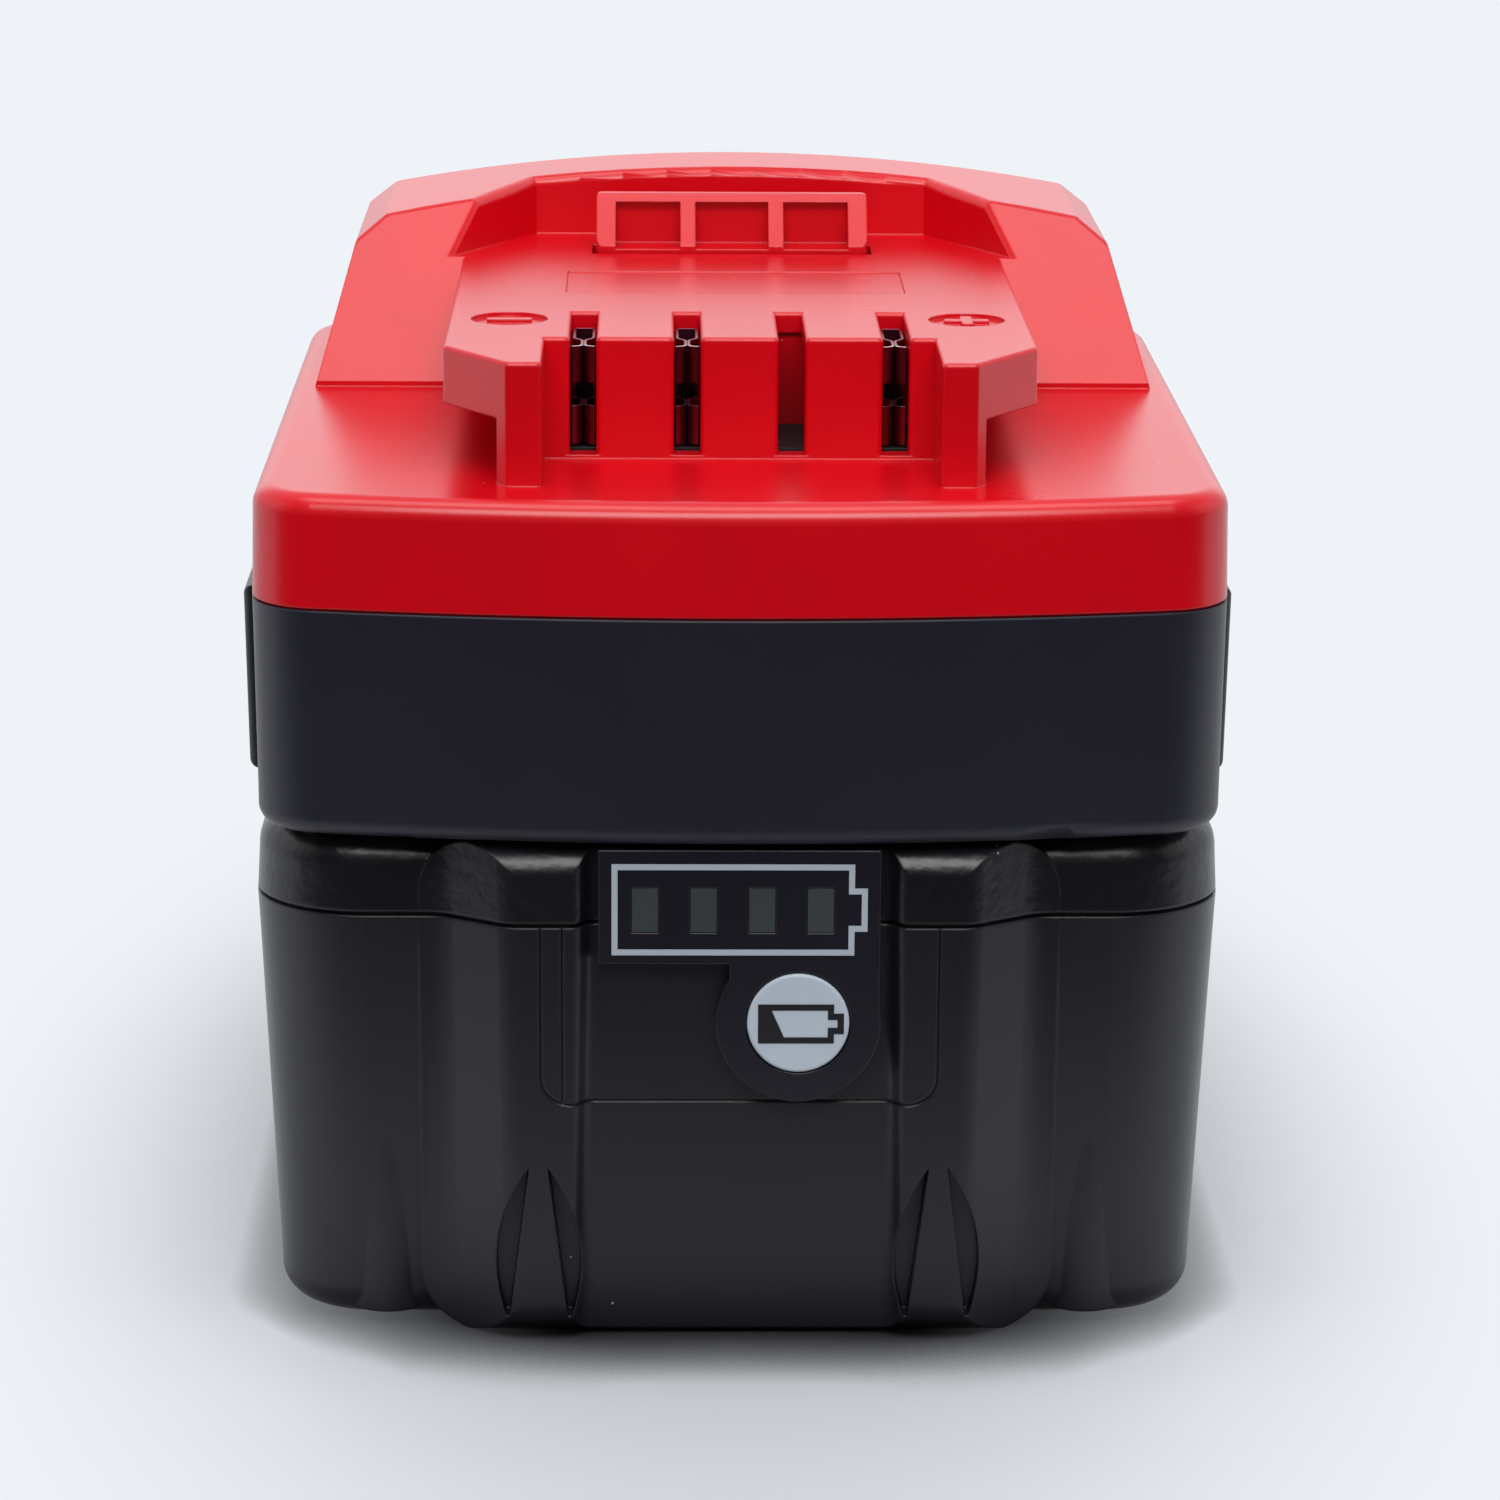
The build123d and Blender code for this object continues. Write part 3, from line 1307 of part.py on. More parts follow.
# Pack cover: upper shell, the rail block that slides into the adapter and the block behind it
with BuildPart() as pack_cover:
    extrude(pack_outline(part_line_z), amount=pack_height - part_line_z, taper=cover_draft)
    fillet(pack_cover.edges().group_by(Axis.Z)[-1], cover_edge_r)
    add(relief_form(part_line_z, pack_height, 0.0, top_r=cover_edge_r))
    plate_under_z = pack_height - cover_plate
    extrude(pack_outline(part_line_z, pack_wall), amount=plate_under_z - part_line_z, mode=Mode.SUBTRACT)
    # Shadow line where the cover meets the case
    with BuildSketch(Plane.XY.offset(part_line_z)):
        Rectangle(2 * pack_width, 2 * overall_length)
        add(pack_outline(0, part_line_depth), mode=Mode.SUBTRACT)
        add(relief_outline(0, part_line_depth), mode=Mode.SUBTRACT)
    extrude(amount=part_line_height, mode=Mode.SUBTRACT)
    # Rail block: neck, flange and crown
    block_rear = rear_block_front
    slab(rail_neck_width, rail_front_setback, block_rear, pack_height - cover_plate, neck_top_z)
    slab(rail_flange_width, rail_front_setback, block_rear, neck_top_z, flange_top_z)
    slab(rail_crown_width, rail_front_setback, block_rear, flange_top_z, crown_top_z)
    # Block behind the adapter
    with BuildSketch(Plane.XY.offset(pack_height - cover_plate)) as rear_plan:
        with Locations((0, y_at((rear_block_front + rear_block_rear) / 2))):
            Rectangle(rear_block_width, rear_block_rear - rear_block_front)
        fillet(rear_plan.vertices().group_by(Axis.Y)[-1], pack_rear_corner_r)
    extrude(amount=rear_block_top_z - pack_height + cover_plate)
    rear_top_edges = pack_cover.faces().sort_by(Axis.Z)[-1].edges()
    fillet(rear_top_edges, rear_block_edge_r / 2)
    # Hollow of both blocks, open to the case
    hollow_half = rail_crown_width / 2 - rail_wall
    hollow_bottom_z = pack_height - cover_plate - slip_gap
    slab(
        2 * hollow_half,
        rail_front_setback + rail_wall,
        rear_block_rear - rail_wall,
        hollow_bottom_z,
        crown_top_z - rail_wall,
        mode=Mode.SUBTRACT,
    )
    # Tub for the pack latch, its floor, the wider lower part that holds the lugs, and the bar's slot
    slab(
        2 * (lug_well_half + latch_well_wall),
        hook_front_setback - running_gap - latch_well_wall,
        pack_latch_rear + running_gap + latch_well_wall,
        latch_well_floor_z - latch_well_wall,
        crown_top_z - rail_wall,
    )
    slab(
        2 * well_half,
        hook_front_setback - running_gap,
        pack_latch_rear + running_gap,
        latch_well_floor_z,
        rear_block_top_z + slip_gap,
        mode=Mode.SUBTRACT,
    )
    slab(
        2 * lug_well_half,
        latch_lug_front - running_gap,
        latch_lug_rear + running_gap,
        latch_well_floor_z,
        latch_bar_bottom_z + latch_lug_height + running_gap,
        mode=Mode.SUBTRACT,
    )
    # Blade slots and the signal opening
    for side in (-1, 1):
        slab(
            blade_slot_width,
            rail_front_setback - slip_gap,
            blade_slot_rear,
            blade_slot_bottom_z,
            crown_top_z + slip_gap,
            x=side * blade_x,
            mode=Mode.SUBTRACT,
        )
    slab(
        signal_opening_width,
        rail_front_setback - slip_gap,
        rail_front_setback + rail_wall + slip_gap,
        signal_opening_bottom_z,
        signal_opening_bottom_z + signal_opening_height,
        mode=Mode.SUBTRACT,
    )
    # Opening for the light pipes behind the bezel
    slab(
        window_bar_width + 2 * running_gap,
        rib_front_setback,
        gauge_board_setback,
        part_line_z,
        window_middle_z + window_height / 2 + running_gap,
        x=window_middle_x,
        mode=Mode.SUBTRACT,
    )
    # Screw bosses
    with BuildSketch(Plane.XY.offset(part_line_z)):
        with Locations(*pack_screw_spots):
            Circle(cover_boss_r)
    extrude(amount=pack_height - cover_plate / 2 - part_line_z)
    with BuildSketch(Plane.XY.offset(part_line_z)):
        with Locations(*pack_screw_spots):
            Circle(screw_shank_r + screw_pitch_gap)
    extrude(amount=pack_screw_top_z - part_line_z + running_gap, mode=Mode.SUBTRACT)
pack_cover.part.label = "pack_cover"
export_step(pack_cover.part, "parts/pack_cover.step")

# Pack screws
with BuildPart() as pack_screws:
    with BuildSketch(Plane.XY.offset(pack_screw_seat_z - screw_head_height)):
        with Locations(*pack_screw_spots):
            Circle(screw_head_r)
    extrude(amount=screw_head_height)
    with BuildSketch(Plane.XY.offset(pack_screw_seat_z)):
        with Locations(*pack_screw_spots):
            Circle(screw_shank_r)
    extrude(amount=pack_screw_top_z - pack_screw_seat_z)
    with BuildSketch(Plane.XY.offset(pack_screw_seat_z - screw_head_height)):
        with Locations(*pack_screw_spots):
            Rectangle(screw_head_r, screw_head_r / 4)
            Rectangle(screw_head_r / 4, screw_head_r)
    extrude(amount=screw_head_height / 2, mode=Mode.SUBTRACT)
pack_screws.part.label = "pack_screws"
export_step(pack_screws.part, "parts/pack_screws.step")

# Pack latch: a sprung bar with the hook at its front end and the thumb pad at its rear
pad_ridge_count = 4
pad_ridge_pitch = (pack_latch_rear - latch_pad_front) / (pad_ridge_count + 1)
pad_ridge_depth = 0.5
latch_spring_setback = (latch_pad_front + pack_latch_rear) / 2
pack_spring_r = 2.0
pack_spring_pocket = 3.0
hook_top_z = latch_bar_top_z + hook_rise
hook_ramp = 2.0
with BuildPart() as pack_latch:
    with BuildSketch(Plane.YZ.offset(-hook_half)):
        with BuildLine():
            Polyline(
                (y_at(hook_front_setback), latch_bar_bottom_z),
                (y_at(hook_front_setback), hook_top_z - hook_ramp),
                (y_at(hook_front_setback + hook_ramp), hook_top_z),
                (y_at(hook_front_setback + hook_depth), hook_top_z),
                (y_at(hook_front_setback + hook_depth), latch_bar_top_z),
                (y_at(latch_pad_front), latch_bar_top_z),
                (y_at(latch_pad_front), rear_block_top_z + latch_pad_proud),
                (y_at(pack_latch_rear), rear_block_top_z + latch_pad_proud),
                (y_at(pack_latch_rear), latch_bar_bottom_z),
                close=True,
            )
        make_face()
    extrude(amount=hook_width)
    fillet(pack_latch.faces().sort_by(Axis.Z)[-1].edges(), pad_ridge_depth)
    slab(
        hook_width + 2 * latch_lug_reach,
        latch_lug_front,
        latch_lug_rear,
        latch_bar_bottom_z,
        latch_bar_bottom_z + latch_lug_height,
    )
    for step in range(pad_ridge_count):
        ridge_setback = latch_spring_setback + pad_ridge_pitch * (step - (pad_ridge_count - 1) / 2)
        slab(
            hook_width - 4 * pad_ridge_depth,
            ridge_setback - pad_ridge_depth,
            ridge_setback + pad_ridge_depth,
            rear_block_top_z + latch_pad_proud - pad_ridge_depth,
            rear_block_top_z + latch_pad_proud,
            mode=Mode.SUBTRACT,
        )
    with Locations(Location((0, y_at(latch_spring_setback), latch_bar_bottom_z), (180, 0, 0))):
        Hole(pack_spring_r + latch_spring_gap, depth=pack_spring_pocket)
pack_latch.part.label = "pack_latch"
export_step(pack_latch.part, "parts/pack_latch.step")

pack_latch_spring = coil_spring(
    (0, y_at(latch_spring_setback), latch_well_floor_z),
    (0, 0, 1),
    latch_bar_bottom_z + pack_spring_pocket - latch_well_floor_z,
    pack_spring_r,
    release_spring_wire_r,
    release_spring_turns,
)
pack_latch_spring.label = "pack_latch_spring"
export_step(pack_latch_spring, "parts/pack_latch_spring.step")

# Gauge bezel: flat plate with a round bulge for the button and four windows
with BuildPart() as gauge_bezel:
    with BuildSketch(Plane.XZ.offset(-y_at(middle_setback))):
        with Locations(((bezel_left_x + bezel_right_x) / 2, (bezel_bottom_z + bezel_top_z) / 2)):
            Rectangle(bezel_right_x - bezel_left_x, bezel_top_z - bezel_bottom_z)
        with Locations(((bezel_join_x + bezel_right_x) / 2, (button_z + bezel_bottom_z + bezel_edge_r) / 2)):
            Rectangle(bezel_right_x - bezel_join_x, bezel_bottom_z + bezel_edge_r - button_z)
        with Locations((button_x, button_z)):
            Circle(bezel_bulge_r)
    extrude(amount=bezel_thickness)
    with BuildSketch(Plane.XZ.offset(-y_at(middle_setback))):
        with Locations((button_x, button_z)):
            Circle(button_r + button_gap)
        with Locations(*[(x, window_middle_z) for x in window_spots]):
            Rectangle(window_width + 2 * window_gap, window_height + 2 * window_gap)
    extrude(amount=bezel_thickness, mode=Mode.SUBTRACT)
gauge_bezel.part.label = "gauge_bezel"
export_step(gauge_bezel.part, "parts/gauge_bezel.step")

# Printed battery outline around the windows
print_thickness = 0.06
print_line = 0.47
print_left_margin = 1.03
print_right_margin = 2.02
print_nub_margin = 1.01
print_bottom_margin = 0.73
print_top_margin = 1.1
print_left_x = bezel_left_x + print_left_margin
print_right_x = bezel_right_x - print_right_margin
print_nub_x = bezel_right_x - print_nub_margin
print_bottom_z = bezel_bottom_z + print_bottom_margin
print_top_z = bezel_top_z - print_top_margin
print_nub_height = 3.5
with BuildPart() as gauge_print:
    print_middle_x = (print_left_x + print_right_x) / 2
    print_middle_z = (print_bottom_z + print_top_z) / 2
    print_width = print_right_x - print_left_x
    print_height = print_top_z - print_bottom_z
    nub_middle_x = (print_middle_x + print_nub_x) / 2
    nub_reach = print_nub_x - print_middle_x
    with BuildSketch(Plane.XZ.offset(-y_at(bezel_front_setback))):
        with Locations((print_middle_x, print_middle_z)):
            Rectangle(print_width, print_height)
        with Locations((nub_middle_x, print_middle_z)):
            Rectangle(nub_reach, print_nub_height)
        with Locations((print_middle_x, print_middle_z)):
            Rectangle(print_width - 2 * print_line, print_height - 2 * print_line, mode=Mode.SUBTRACT)
        with Locations((nub_middle_x - print_line, print_middle_z)):
            Rectangle(nub_reach, print_nub_height - 2 * print_line, mode=Mode.SUBTRACT)
    extrude(amount=print_thickness)
gauge_print.part.label = "gauge_outline_print"
export_step(gauge_print.part, "parts/gauge_outline_print.step")

# Light pipes: four windows joined behind the bezel by a bar
with BuildPart() as gauge_windows:
    for x in window_spots:
        slab(
            window_width,
            bezel_front_setback + window_gap,
            middle_setback + slip_gap,
            window_middle_z - window_height / 2,
            window_middle_z + window_height / 2,
            x=x,
        )
        slab(
            window_width,
            middle_setback + slip_gap,
            gauge_board_setback - 2 * pipe_bar_thickness,
            window_middle_z - window_height / 4,
            window_middle_z + window_height / 4,
            x=x,
        )
    slab(
        window_bar_width,
        middle_setback,
        middle_setback + pipe_bar_thickness,
        window_middle_z - window_height / 2,
        window_middle_z + window_height / 2,
        x=window_middle_x,
    )
gauge_windows.part.label = "gauge_windows"
export_step(gauge_windows.part, "parts/gauge_windows.step")

# Check button: disc through the bezel, flange behind it and a stem to the switch
button_front_setback = 1.35
button_edge_r = 0.25
with BuildPart() as check_button:
    with BuildSketch(Plane.XZ.offset(-y_at(button_front_setback))):
        with Locations((button_x, button_z)):
            Circle(button_r)
    extrude(amount=button_front_setback - middle_setback - slip_gap)
    fillet(check_button.faces().sort_by(Axis.Y)[0].edges(), button_edge_r)
    with BuildSketch(Plane.XZ.offset(-y_at(middle_setback + slip_gap))):
        with Locations((button_x, button_z)):
            Circle(button_flange_r)
    extrude(amount=-button_flange_thickness)
    button_stem_end = gauge_board_setback - 1.0
    with BuildSketch(Plane.XZ.offset(-y_at(middle_setback + slip_gap))):
        with Locations((button_x, button_z)):
            Circle(button_stem_r)
    extrude(amount=middle_setback + slip_gap - button_stem_end)
check_button.part.label = "check_button"
export_step(check_button.part, "parts/check_button.step")

# Pictogram on the button: a part-charged battery
picture_left = -3.15
picture_right = 2.8
picture_top = 1.57
picture_bottom = -1.6
picture_line = 0.48
charge_top = -2.09
charge_foot = -1.11
nub_right = 3.58
nub_half = 0.83
nub_hole_right = 3.08
nub_hole_half = 0.33
with BuildPart() as button_symbol:
    with BuildSketch(Plane.XZ.offset(-y_at(button_front_setback))):
        with Locations((button_x, button_z)):
            with Locations(((picture_left + picture_right) / 2, (picture_top + picture_bottom) / 2)):
                Rectangle(picture_right - picture_left, picture_top - picture_bottom)
            with Locations(((picture_right + nub_right) / 2, 0)):
                Rectangle(nub_right - picture_right, 2 * nub_half)
            nub_hole_left = picture_right - picture_line
            with Locations(((nub_hole_left + nub_hole_right) / 2, 0)):
                Rectangle(nub_hole_right - nub_hole_left, 2 * nub_hole_half, mode=Mode.SUBTRACT)
        with BuildLine():
            Polyline(
                (button_x + charge_top, button_z + picture_top - picture_line),
                (button_x + picture_right - picture_line, button_z + picture_top - picture_line),
                (button_x + picture_right - picture_line, button_z + picture_bottom + picture_line),
                (button_x + charge_foot, button_z + picture_bottom + picture_line),
                close=True,
            )
        make_face(mode=Mode.SUBTRACT)
    extrude(amount=print_thickness)
button_symbol.part.label = "check_button_symbol"
export_step(button_symbol.part, "parts/check_button_symbol.step")

# Gauge board, its lights and the switch behind the button
light_height = 2.0
light_thickness = 0.8
switch_size = 4.5
with BuildPart() as gauge_board:
    slab(
        gauge_board_width,
        gauge_board_setback,
        gauge_board_setback + gauge_board_thickness,
        gauge_board_bottom_z,
        gauge_board_top_z,
    )
gauge_board.part.label = "gauge_board"
export_step(gauge_board.part, "parts/gauge_board.step")

with BuildPart() as gauge_lights:
    for x in window_spots:
        slab(
            window_width / 2,
            gauge_board_setback - light_thickness,
            gauge_board_setback,
            window_middle_z - light_height / 2,
            window_middle_z + light_height / 2,
            x=x,
        )
gauge_lights.part.label = "gauge_lights"
export_step(gauge_lights.part, "parts/gauge_lights.step")

switch_thickness = gauge_board_setback - button_stem_end - button_travel - slip_gap
with BuildPart() as check_switch:
    slab(
        switch_size,
        gauge_board_setback - switch_thickness,
        gauge_board_setback,
        button_z - switch_size / 2,
        button_z + switch_size / 2,
        x=button_x,
    )
check_switch.part.label = "check_switch"
export_step(check_switch.part, "parts/check_switch.step")

# Cells: five pairs lying across the pack, the largest that fit between its screw bosses and its shells
cell_column_count = 5
cell_end_gap = 3.7
cell_floor_gap = 0.2
cell_layer_gap = 0.4
cell_top_gap = 0.5
cell_column_gap = 0.5
cell_boss_gap = 0.3
cell_length = pack_width - 2 * (pack_wall + cell_end_gap)
cell_front = pack_screw_front + pack_boss_r + cell_boss_gap
cell_rear = pack_screw_rear - pack_boss_r - cell_boss_gap
cell_room_height = plate_under_z - case_floor - cell_floor_gap - cell_layer_gap - cell_top_gap
cell_room_length = cell_rear - cell_front - (cell_column_count - 1) * cell_column_gap
cell_r = min(cell_room_height / 4, cell_room_length / cell_column_count / 2)
cell_button_r = 3.2
cell_button_height = 0.8
cell_edge_r = 0.6
cell_pitch = (cell_rear - cell_front - 2 * cell_r) / (cell_column_count - 1)
cell_low_z = case_floor + cell_floor_gap + cell_r
cell_high_z = plate_under_z - cell_top_gap - cell_r
cell_fit = 0.05
column_setbacks = [cell_front + cell_r + cell_pitch * column for column in range(cell_column_count)]
cell_places = [(setback, z) for setback in column_setbacks for z in (cell_low_z, cell_high_z)]
for index, (setback, z) in enumerate(cell_places):
    facing = 1 if index % 4 < 2 else -1
    can_length = cell_length - cell_button_height
    can_start_x = -facing * cell_length / 2
    can_end_x = facing * (can_length - cell_length / 2)
    with BuildPart() as cell:
        with BuildSketch(Plane(origin=(can_start_x, y_at(setback), z), z_dir=(facing, 0, 0))):
            Circle(cell_r)
        extrude(amount=can_length)
        fillet(cell.edges(), cell_edge_r)
        with BuildSketch(Plane(origin=(can_end_x, y_at(setback), z), z_dir=(facing, 0, 0))):
            Circle(cell_button_r)
        extrude(amount=cell_button_height)
    cell.part.label = f"cell_{index + 1}"
    export_step(cell.part, f"parts/cell_{index + 1}.step")

# Cell holders and the welded strips over the cells' ends
holder_plate_thickness = 5.8
holder_margin = 0.6
holder_boss_gap = 0.4
holder_top_gap = 0.2
holder_plate_outer_x = pack_screw_x - pack_boss_r - holder_boss_gap
holder_plate_inner_x = holder_plate_outer_x - holder_plate_thickness
holder_plate_front = cell_front - holder_margin
holder_plate_rear = cell_rear + holder_margin
holder_plate_top_z = plate_under_z - holder_top_gap
strip_thickness = 0.2
strip_half_width = 7.0
strip_reach = 6.0
strip_low_z = cell_low_z - strip_reach
strip_high_z = cell_high_z + strip_reach
main_board_rise = 0.5
main_board_bottom_z = pack_height + main_board_rise
main_board_thickness = 1.6
main_board_front = 11.5
main_board_hook_gap = 2.9
main_board_rear = hook_front_setback - main_board_hook_gap
post_size = 1.8
for side, side_name, first_strip in ((-1, "left", -1), (1, "right", 0)):
    with BuildPart() as cell_holder:
        holder_middle_x = side * (holder_plate_inner_x + holder_plate_outer_x) / 2
        holder_plate_width = holder_plate_outer_x - holder_plate_inner_x
        slab(
            holder_plate_width,
            holder_plate_front,
            holder_plate_rear,
            case_floor,
            holder_plate_top_z,
            x=holder_middle_x,
        )
        with BuildSketch(Plane.YZ.offset(holder_middle_x - holder_plate_width / 2)):
            with Locations(*[(y_at(setback), z) for setback, z in cell_places]):
                Circle(cell_r + cell_fit)
        extrude(amount=holder_plate_width, mode=Mode.SUBTRACT)
        for post_setback in (main_board_front + post_size, main_board_rear - post_size):
            slab(
                post_size,
                post_setback - post_size / 2,
                post_setback + post_size / 2,
                holder_plate_top_z,
                main_board_bottom_z,
                x=side * (holder_plate_inner_x + post_size / 2),
            )
    cell_holder.part.label = f"cell_holder_{side_name}"
    export_step(cell_holder.part, f"parts/cell_holder_{side_name}.step")

    with BuildPart() as cell_strips:
        for column in range(first_strip, cell_column_count, 2):
            first = max(column, 0)
            last = min(column + 1, cell_column_count - 1)
            slab(
                strip_thickness,
                column_setbacks[first] - strip_half_width,
                column_setbacks[last] + strip_half_width,
                strip_low_z,
                strip_high_z,
                x=side * (cell_length + strip_thickness) / 2,
            )
    cell_strips.part.label = f"cell_strips_{side_name}"
    export_step(cell_strips.part, f"parts/cell_strips_{side_name}.step")

# Main board of the pack with its parts, the two blade clips and the signal socket
board_half = hollow_half - running_gap
main_board_top_z = main_board_bottom_z + main_board_thickness
clip_front = 12.0
clip_rear = 22.0
clip_inner_half = 0.6
clip_metal = 0.4
clip_base = 0.5
clip_top_z = crown_top_z - rail_wall - running_gap
socket_width = 12.0
socket_depth = 8.0
socket_gap = 0.2
with BuildPart() as main_board:
    slab(2 * board_half, main_board_front, main_board_rear, main_board_bottom_z, main_board_top_z)
main_board.part.label = "main_board"
export_step(main_board.part, "parts/main_board.step")

# Its controller, four large power transistors, a shunt and, behind them, a capacitor
controller_size = 7.0
controller_height = 1.0
transistor_width = 6.5
transistor_length = 9.0
transistor_height = 2.3
transistor_x = 12.0
transistor_pitch = 16.0
transistor_setback = 22.5
controller_step = 2.0
capacitor_rear_step = 11.5
shunt_width = 6.4
shunt_length = 3.2
shunt_height = 0.8
capacitor_width = 10.0
capacitor_length = 5.0
capacitor_height = 5.5
transistor_front = main_board_front + transistor_setback
with BuildPart() as board_parts:
    for x in (-transistor_x, transistor_x):
        for front in (transistor_front, transistor_front + transistor_pitch):
            rear = front + transistor_length
            slab(transistor_width, front, rear, main_board_top_z, main_board_top_z + transistor_height, x=x)
    for width, length, height, front in (
        (controller_size, controller_size, controller_height, transistor_front + controller_step),
        (shunt_width, shunt_length, shunt_height, transistor_front + transistor_pitch),
        (capacitor_width, capacitor_length, capacitor_height, main_board_rear - capacitor_rear_step),
    ):
        slab(width, front, front + length, main_board_top_z, main_board_top_z + height)
board_parts.part.label = "main_board_parts"
export_step(board_parts.part, "parts/main_board_parts.step")

for side, pole in ((-1, "negative"), (1, "positive")):
    with BuildPart() as pack_contact:
        clip_width = 2 * (clip_inner_half + clip_metal)
        slab(clip_width, clip_front, clip_rear, main_board_top_z, clip_top_z, x=side * blade_x)
        slab(
            2 * clip_inner_half,
            clip_front - slip_gap,
            clip_rear + slip_gap,
            main_board_top_z + clip_base,
            clip_top_z + slip_gap,
            x=side * blade_x,
            mode=Mode.SUBTRACT,
        )
    pack_contact.part.label = f"pack_contact_{pole}"
    export_step(pack_contact.part, f"parts/pack_contact_{pole}.step")

with BuildPart() as signal_socket:
    slab(socket_width, clip_front, clip_rear, main_board_top_z, clip_top_z)
    slab(
        signal_plug_width + 2 * socket_gap,
        clip_front - slip_gap,
        clip_front + socket_depth,
        signal_plug_z - socket_gap,
        signal_plug_z + signal_plug_thickness + socket_gap,
        mode=Mode.SUBTRACT,
    )
signal_socket.part.label = "signal_socket"
export_step(signal_socket.part, "parts/signal_socket.step")
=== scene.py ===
import math

import bmesh
import bpy
from mathutils import Matrix, Vector


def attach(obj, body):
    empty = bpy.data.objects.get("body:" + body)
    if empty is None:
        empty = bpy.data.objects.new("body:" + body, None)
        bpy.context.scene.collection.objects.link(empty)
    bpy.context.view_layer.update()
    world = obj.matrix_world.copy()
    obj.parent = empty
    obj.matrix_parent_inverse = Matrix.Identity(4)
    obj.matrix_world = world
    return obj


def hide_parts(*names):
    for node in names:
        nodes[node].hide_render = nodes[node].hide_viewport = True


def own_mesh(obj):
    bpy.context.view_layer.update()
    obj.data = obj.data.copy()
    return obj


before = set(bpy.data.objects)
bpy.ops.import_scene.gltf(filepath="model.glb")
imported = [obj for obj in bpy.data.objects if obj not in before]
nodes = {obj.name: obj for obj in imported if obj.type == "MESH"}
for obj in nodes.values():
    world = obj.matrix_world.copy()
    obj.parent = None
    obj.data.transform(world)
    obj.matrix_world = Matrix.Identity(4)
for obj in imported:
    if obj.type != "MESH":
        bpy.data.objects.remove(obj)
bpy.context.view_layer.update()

# Adapter ring: the black lower housing. Glass-filled nylon, moulded with a fine satin
# surface, and screwed up into the red top housing. The surface recipe below serves all the
# moulded pieces: a fine grain for relief, slow mottling of the gloss, and stray dust.
dust_cells_per_metre = 300.0
dust_speck_size = 0.03


def feed(tree, socket, value):
    """Set a socket to a number or a colour, or link another node's output to it."""
    if isinstance(value, bpy.types.NodeSocket):
        tree.links.new(value, socket)
    else:
        socket.default_value = value


def worked(tree, operation, *values):
    """One sum in a node tree."""
    step = tree.nodes.new("ShaderNodeMath")
    step.operation = operation
    for socket, value in zip(step.inputs, values):
        feed(tree, socket, value)
    return step.outputs[0]


def ranged(tree, value, start, end, low, high, smooth=False):
    """A value carried from start..end to low..high, and held at both ends."""
    step = tree.nodes.new("ShaderNodeMapRange")
    if smooth:
        step.interpolation_type = "SMOOTHSTEP"
    for name, given in (("Value", value), ("From Min", start), ("From Max", end), ("To Min", low), ("To Max", high)):
        feed(tree, step.inputs[name], given)
    return step.outputs["Result"]


def blended(tree, share, first, second):
    """Two colours mixed by a share between 0 and 1."""
    mix = tree.nodes.new("ShaderNodeMix")
    mix.data_type = "RGBA"
    for place, value in ((0, share), (6, first), (7, second)):
        feed(tree, mix.inputs[place], value)
    return mix.outputs[2]


def moulded_surface():
    group = bpy.data.node_groups.new("moulded_surface", "ShaderNodeTree")
    face = group.interface
    for name, value in (("Grain Size", 0.0004), ("Mottle Size", 0.012), ("Dust", 0.5)):
        socket = face.new_socket(name, in_out="INPUT", socket_type="NodeSocketFloat")
        socket.default_value = value
    for name in ("Grain", "Mottle", "Dust"):
        face.new_socket(name, in_out="OUTPUT", socket_type="NodeSocketFloat")
    made, link = group.nodes.new, group.links.new
    given = made("NodeGroupInput").outputs
    out = made("NodeGroupOutput").inputs
    place = made("ShaderNodeTexCoord").outputs["Object"]
    for size_name, output_name, detail in (("Grain Size", "Grain", 2.0), ("Mottle Size", "Mottle", 3.0)):
        noise = made("ShaderNodeTexNoise")
        noise.inputs["Detail"].default_value = detail
        link(place, noise.inputs["Vector"])
        link(worked(group, "DIVIDE", 1.0, given[size_name]), noise.inputs["Scale"])
        link(noise.outputs["Fac"], out[output_name])
    # Dust: a few bright points, each a small part of its own cell
    cells = made("ShaderNodeTexVoronoi")
    cells.inputs["Scale"].default_value = dust_cells_per_metre
    link(place, cells.inputs["Vector"])
    speck = worked(group, "LESS_THAN", cells.outputs["Distance"], dust_speck_size)
    lot = made("ShaderNodeSeparateColor")
    link(cells.outputs["Color"], lot.inputs[0])
    chosen = worked(group, "LESS_THAN", lot.outputs[0], given["Dust"])
    link(worked(group, "MULTIPLY", speck, chosen), out["Dust"])
    return group


surface_group = moulded_surface()


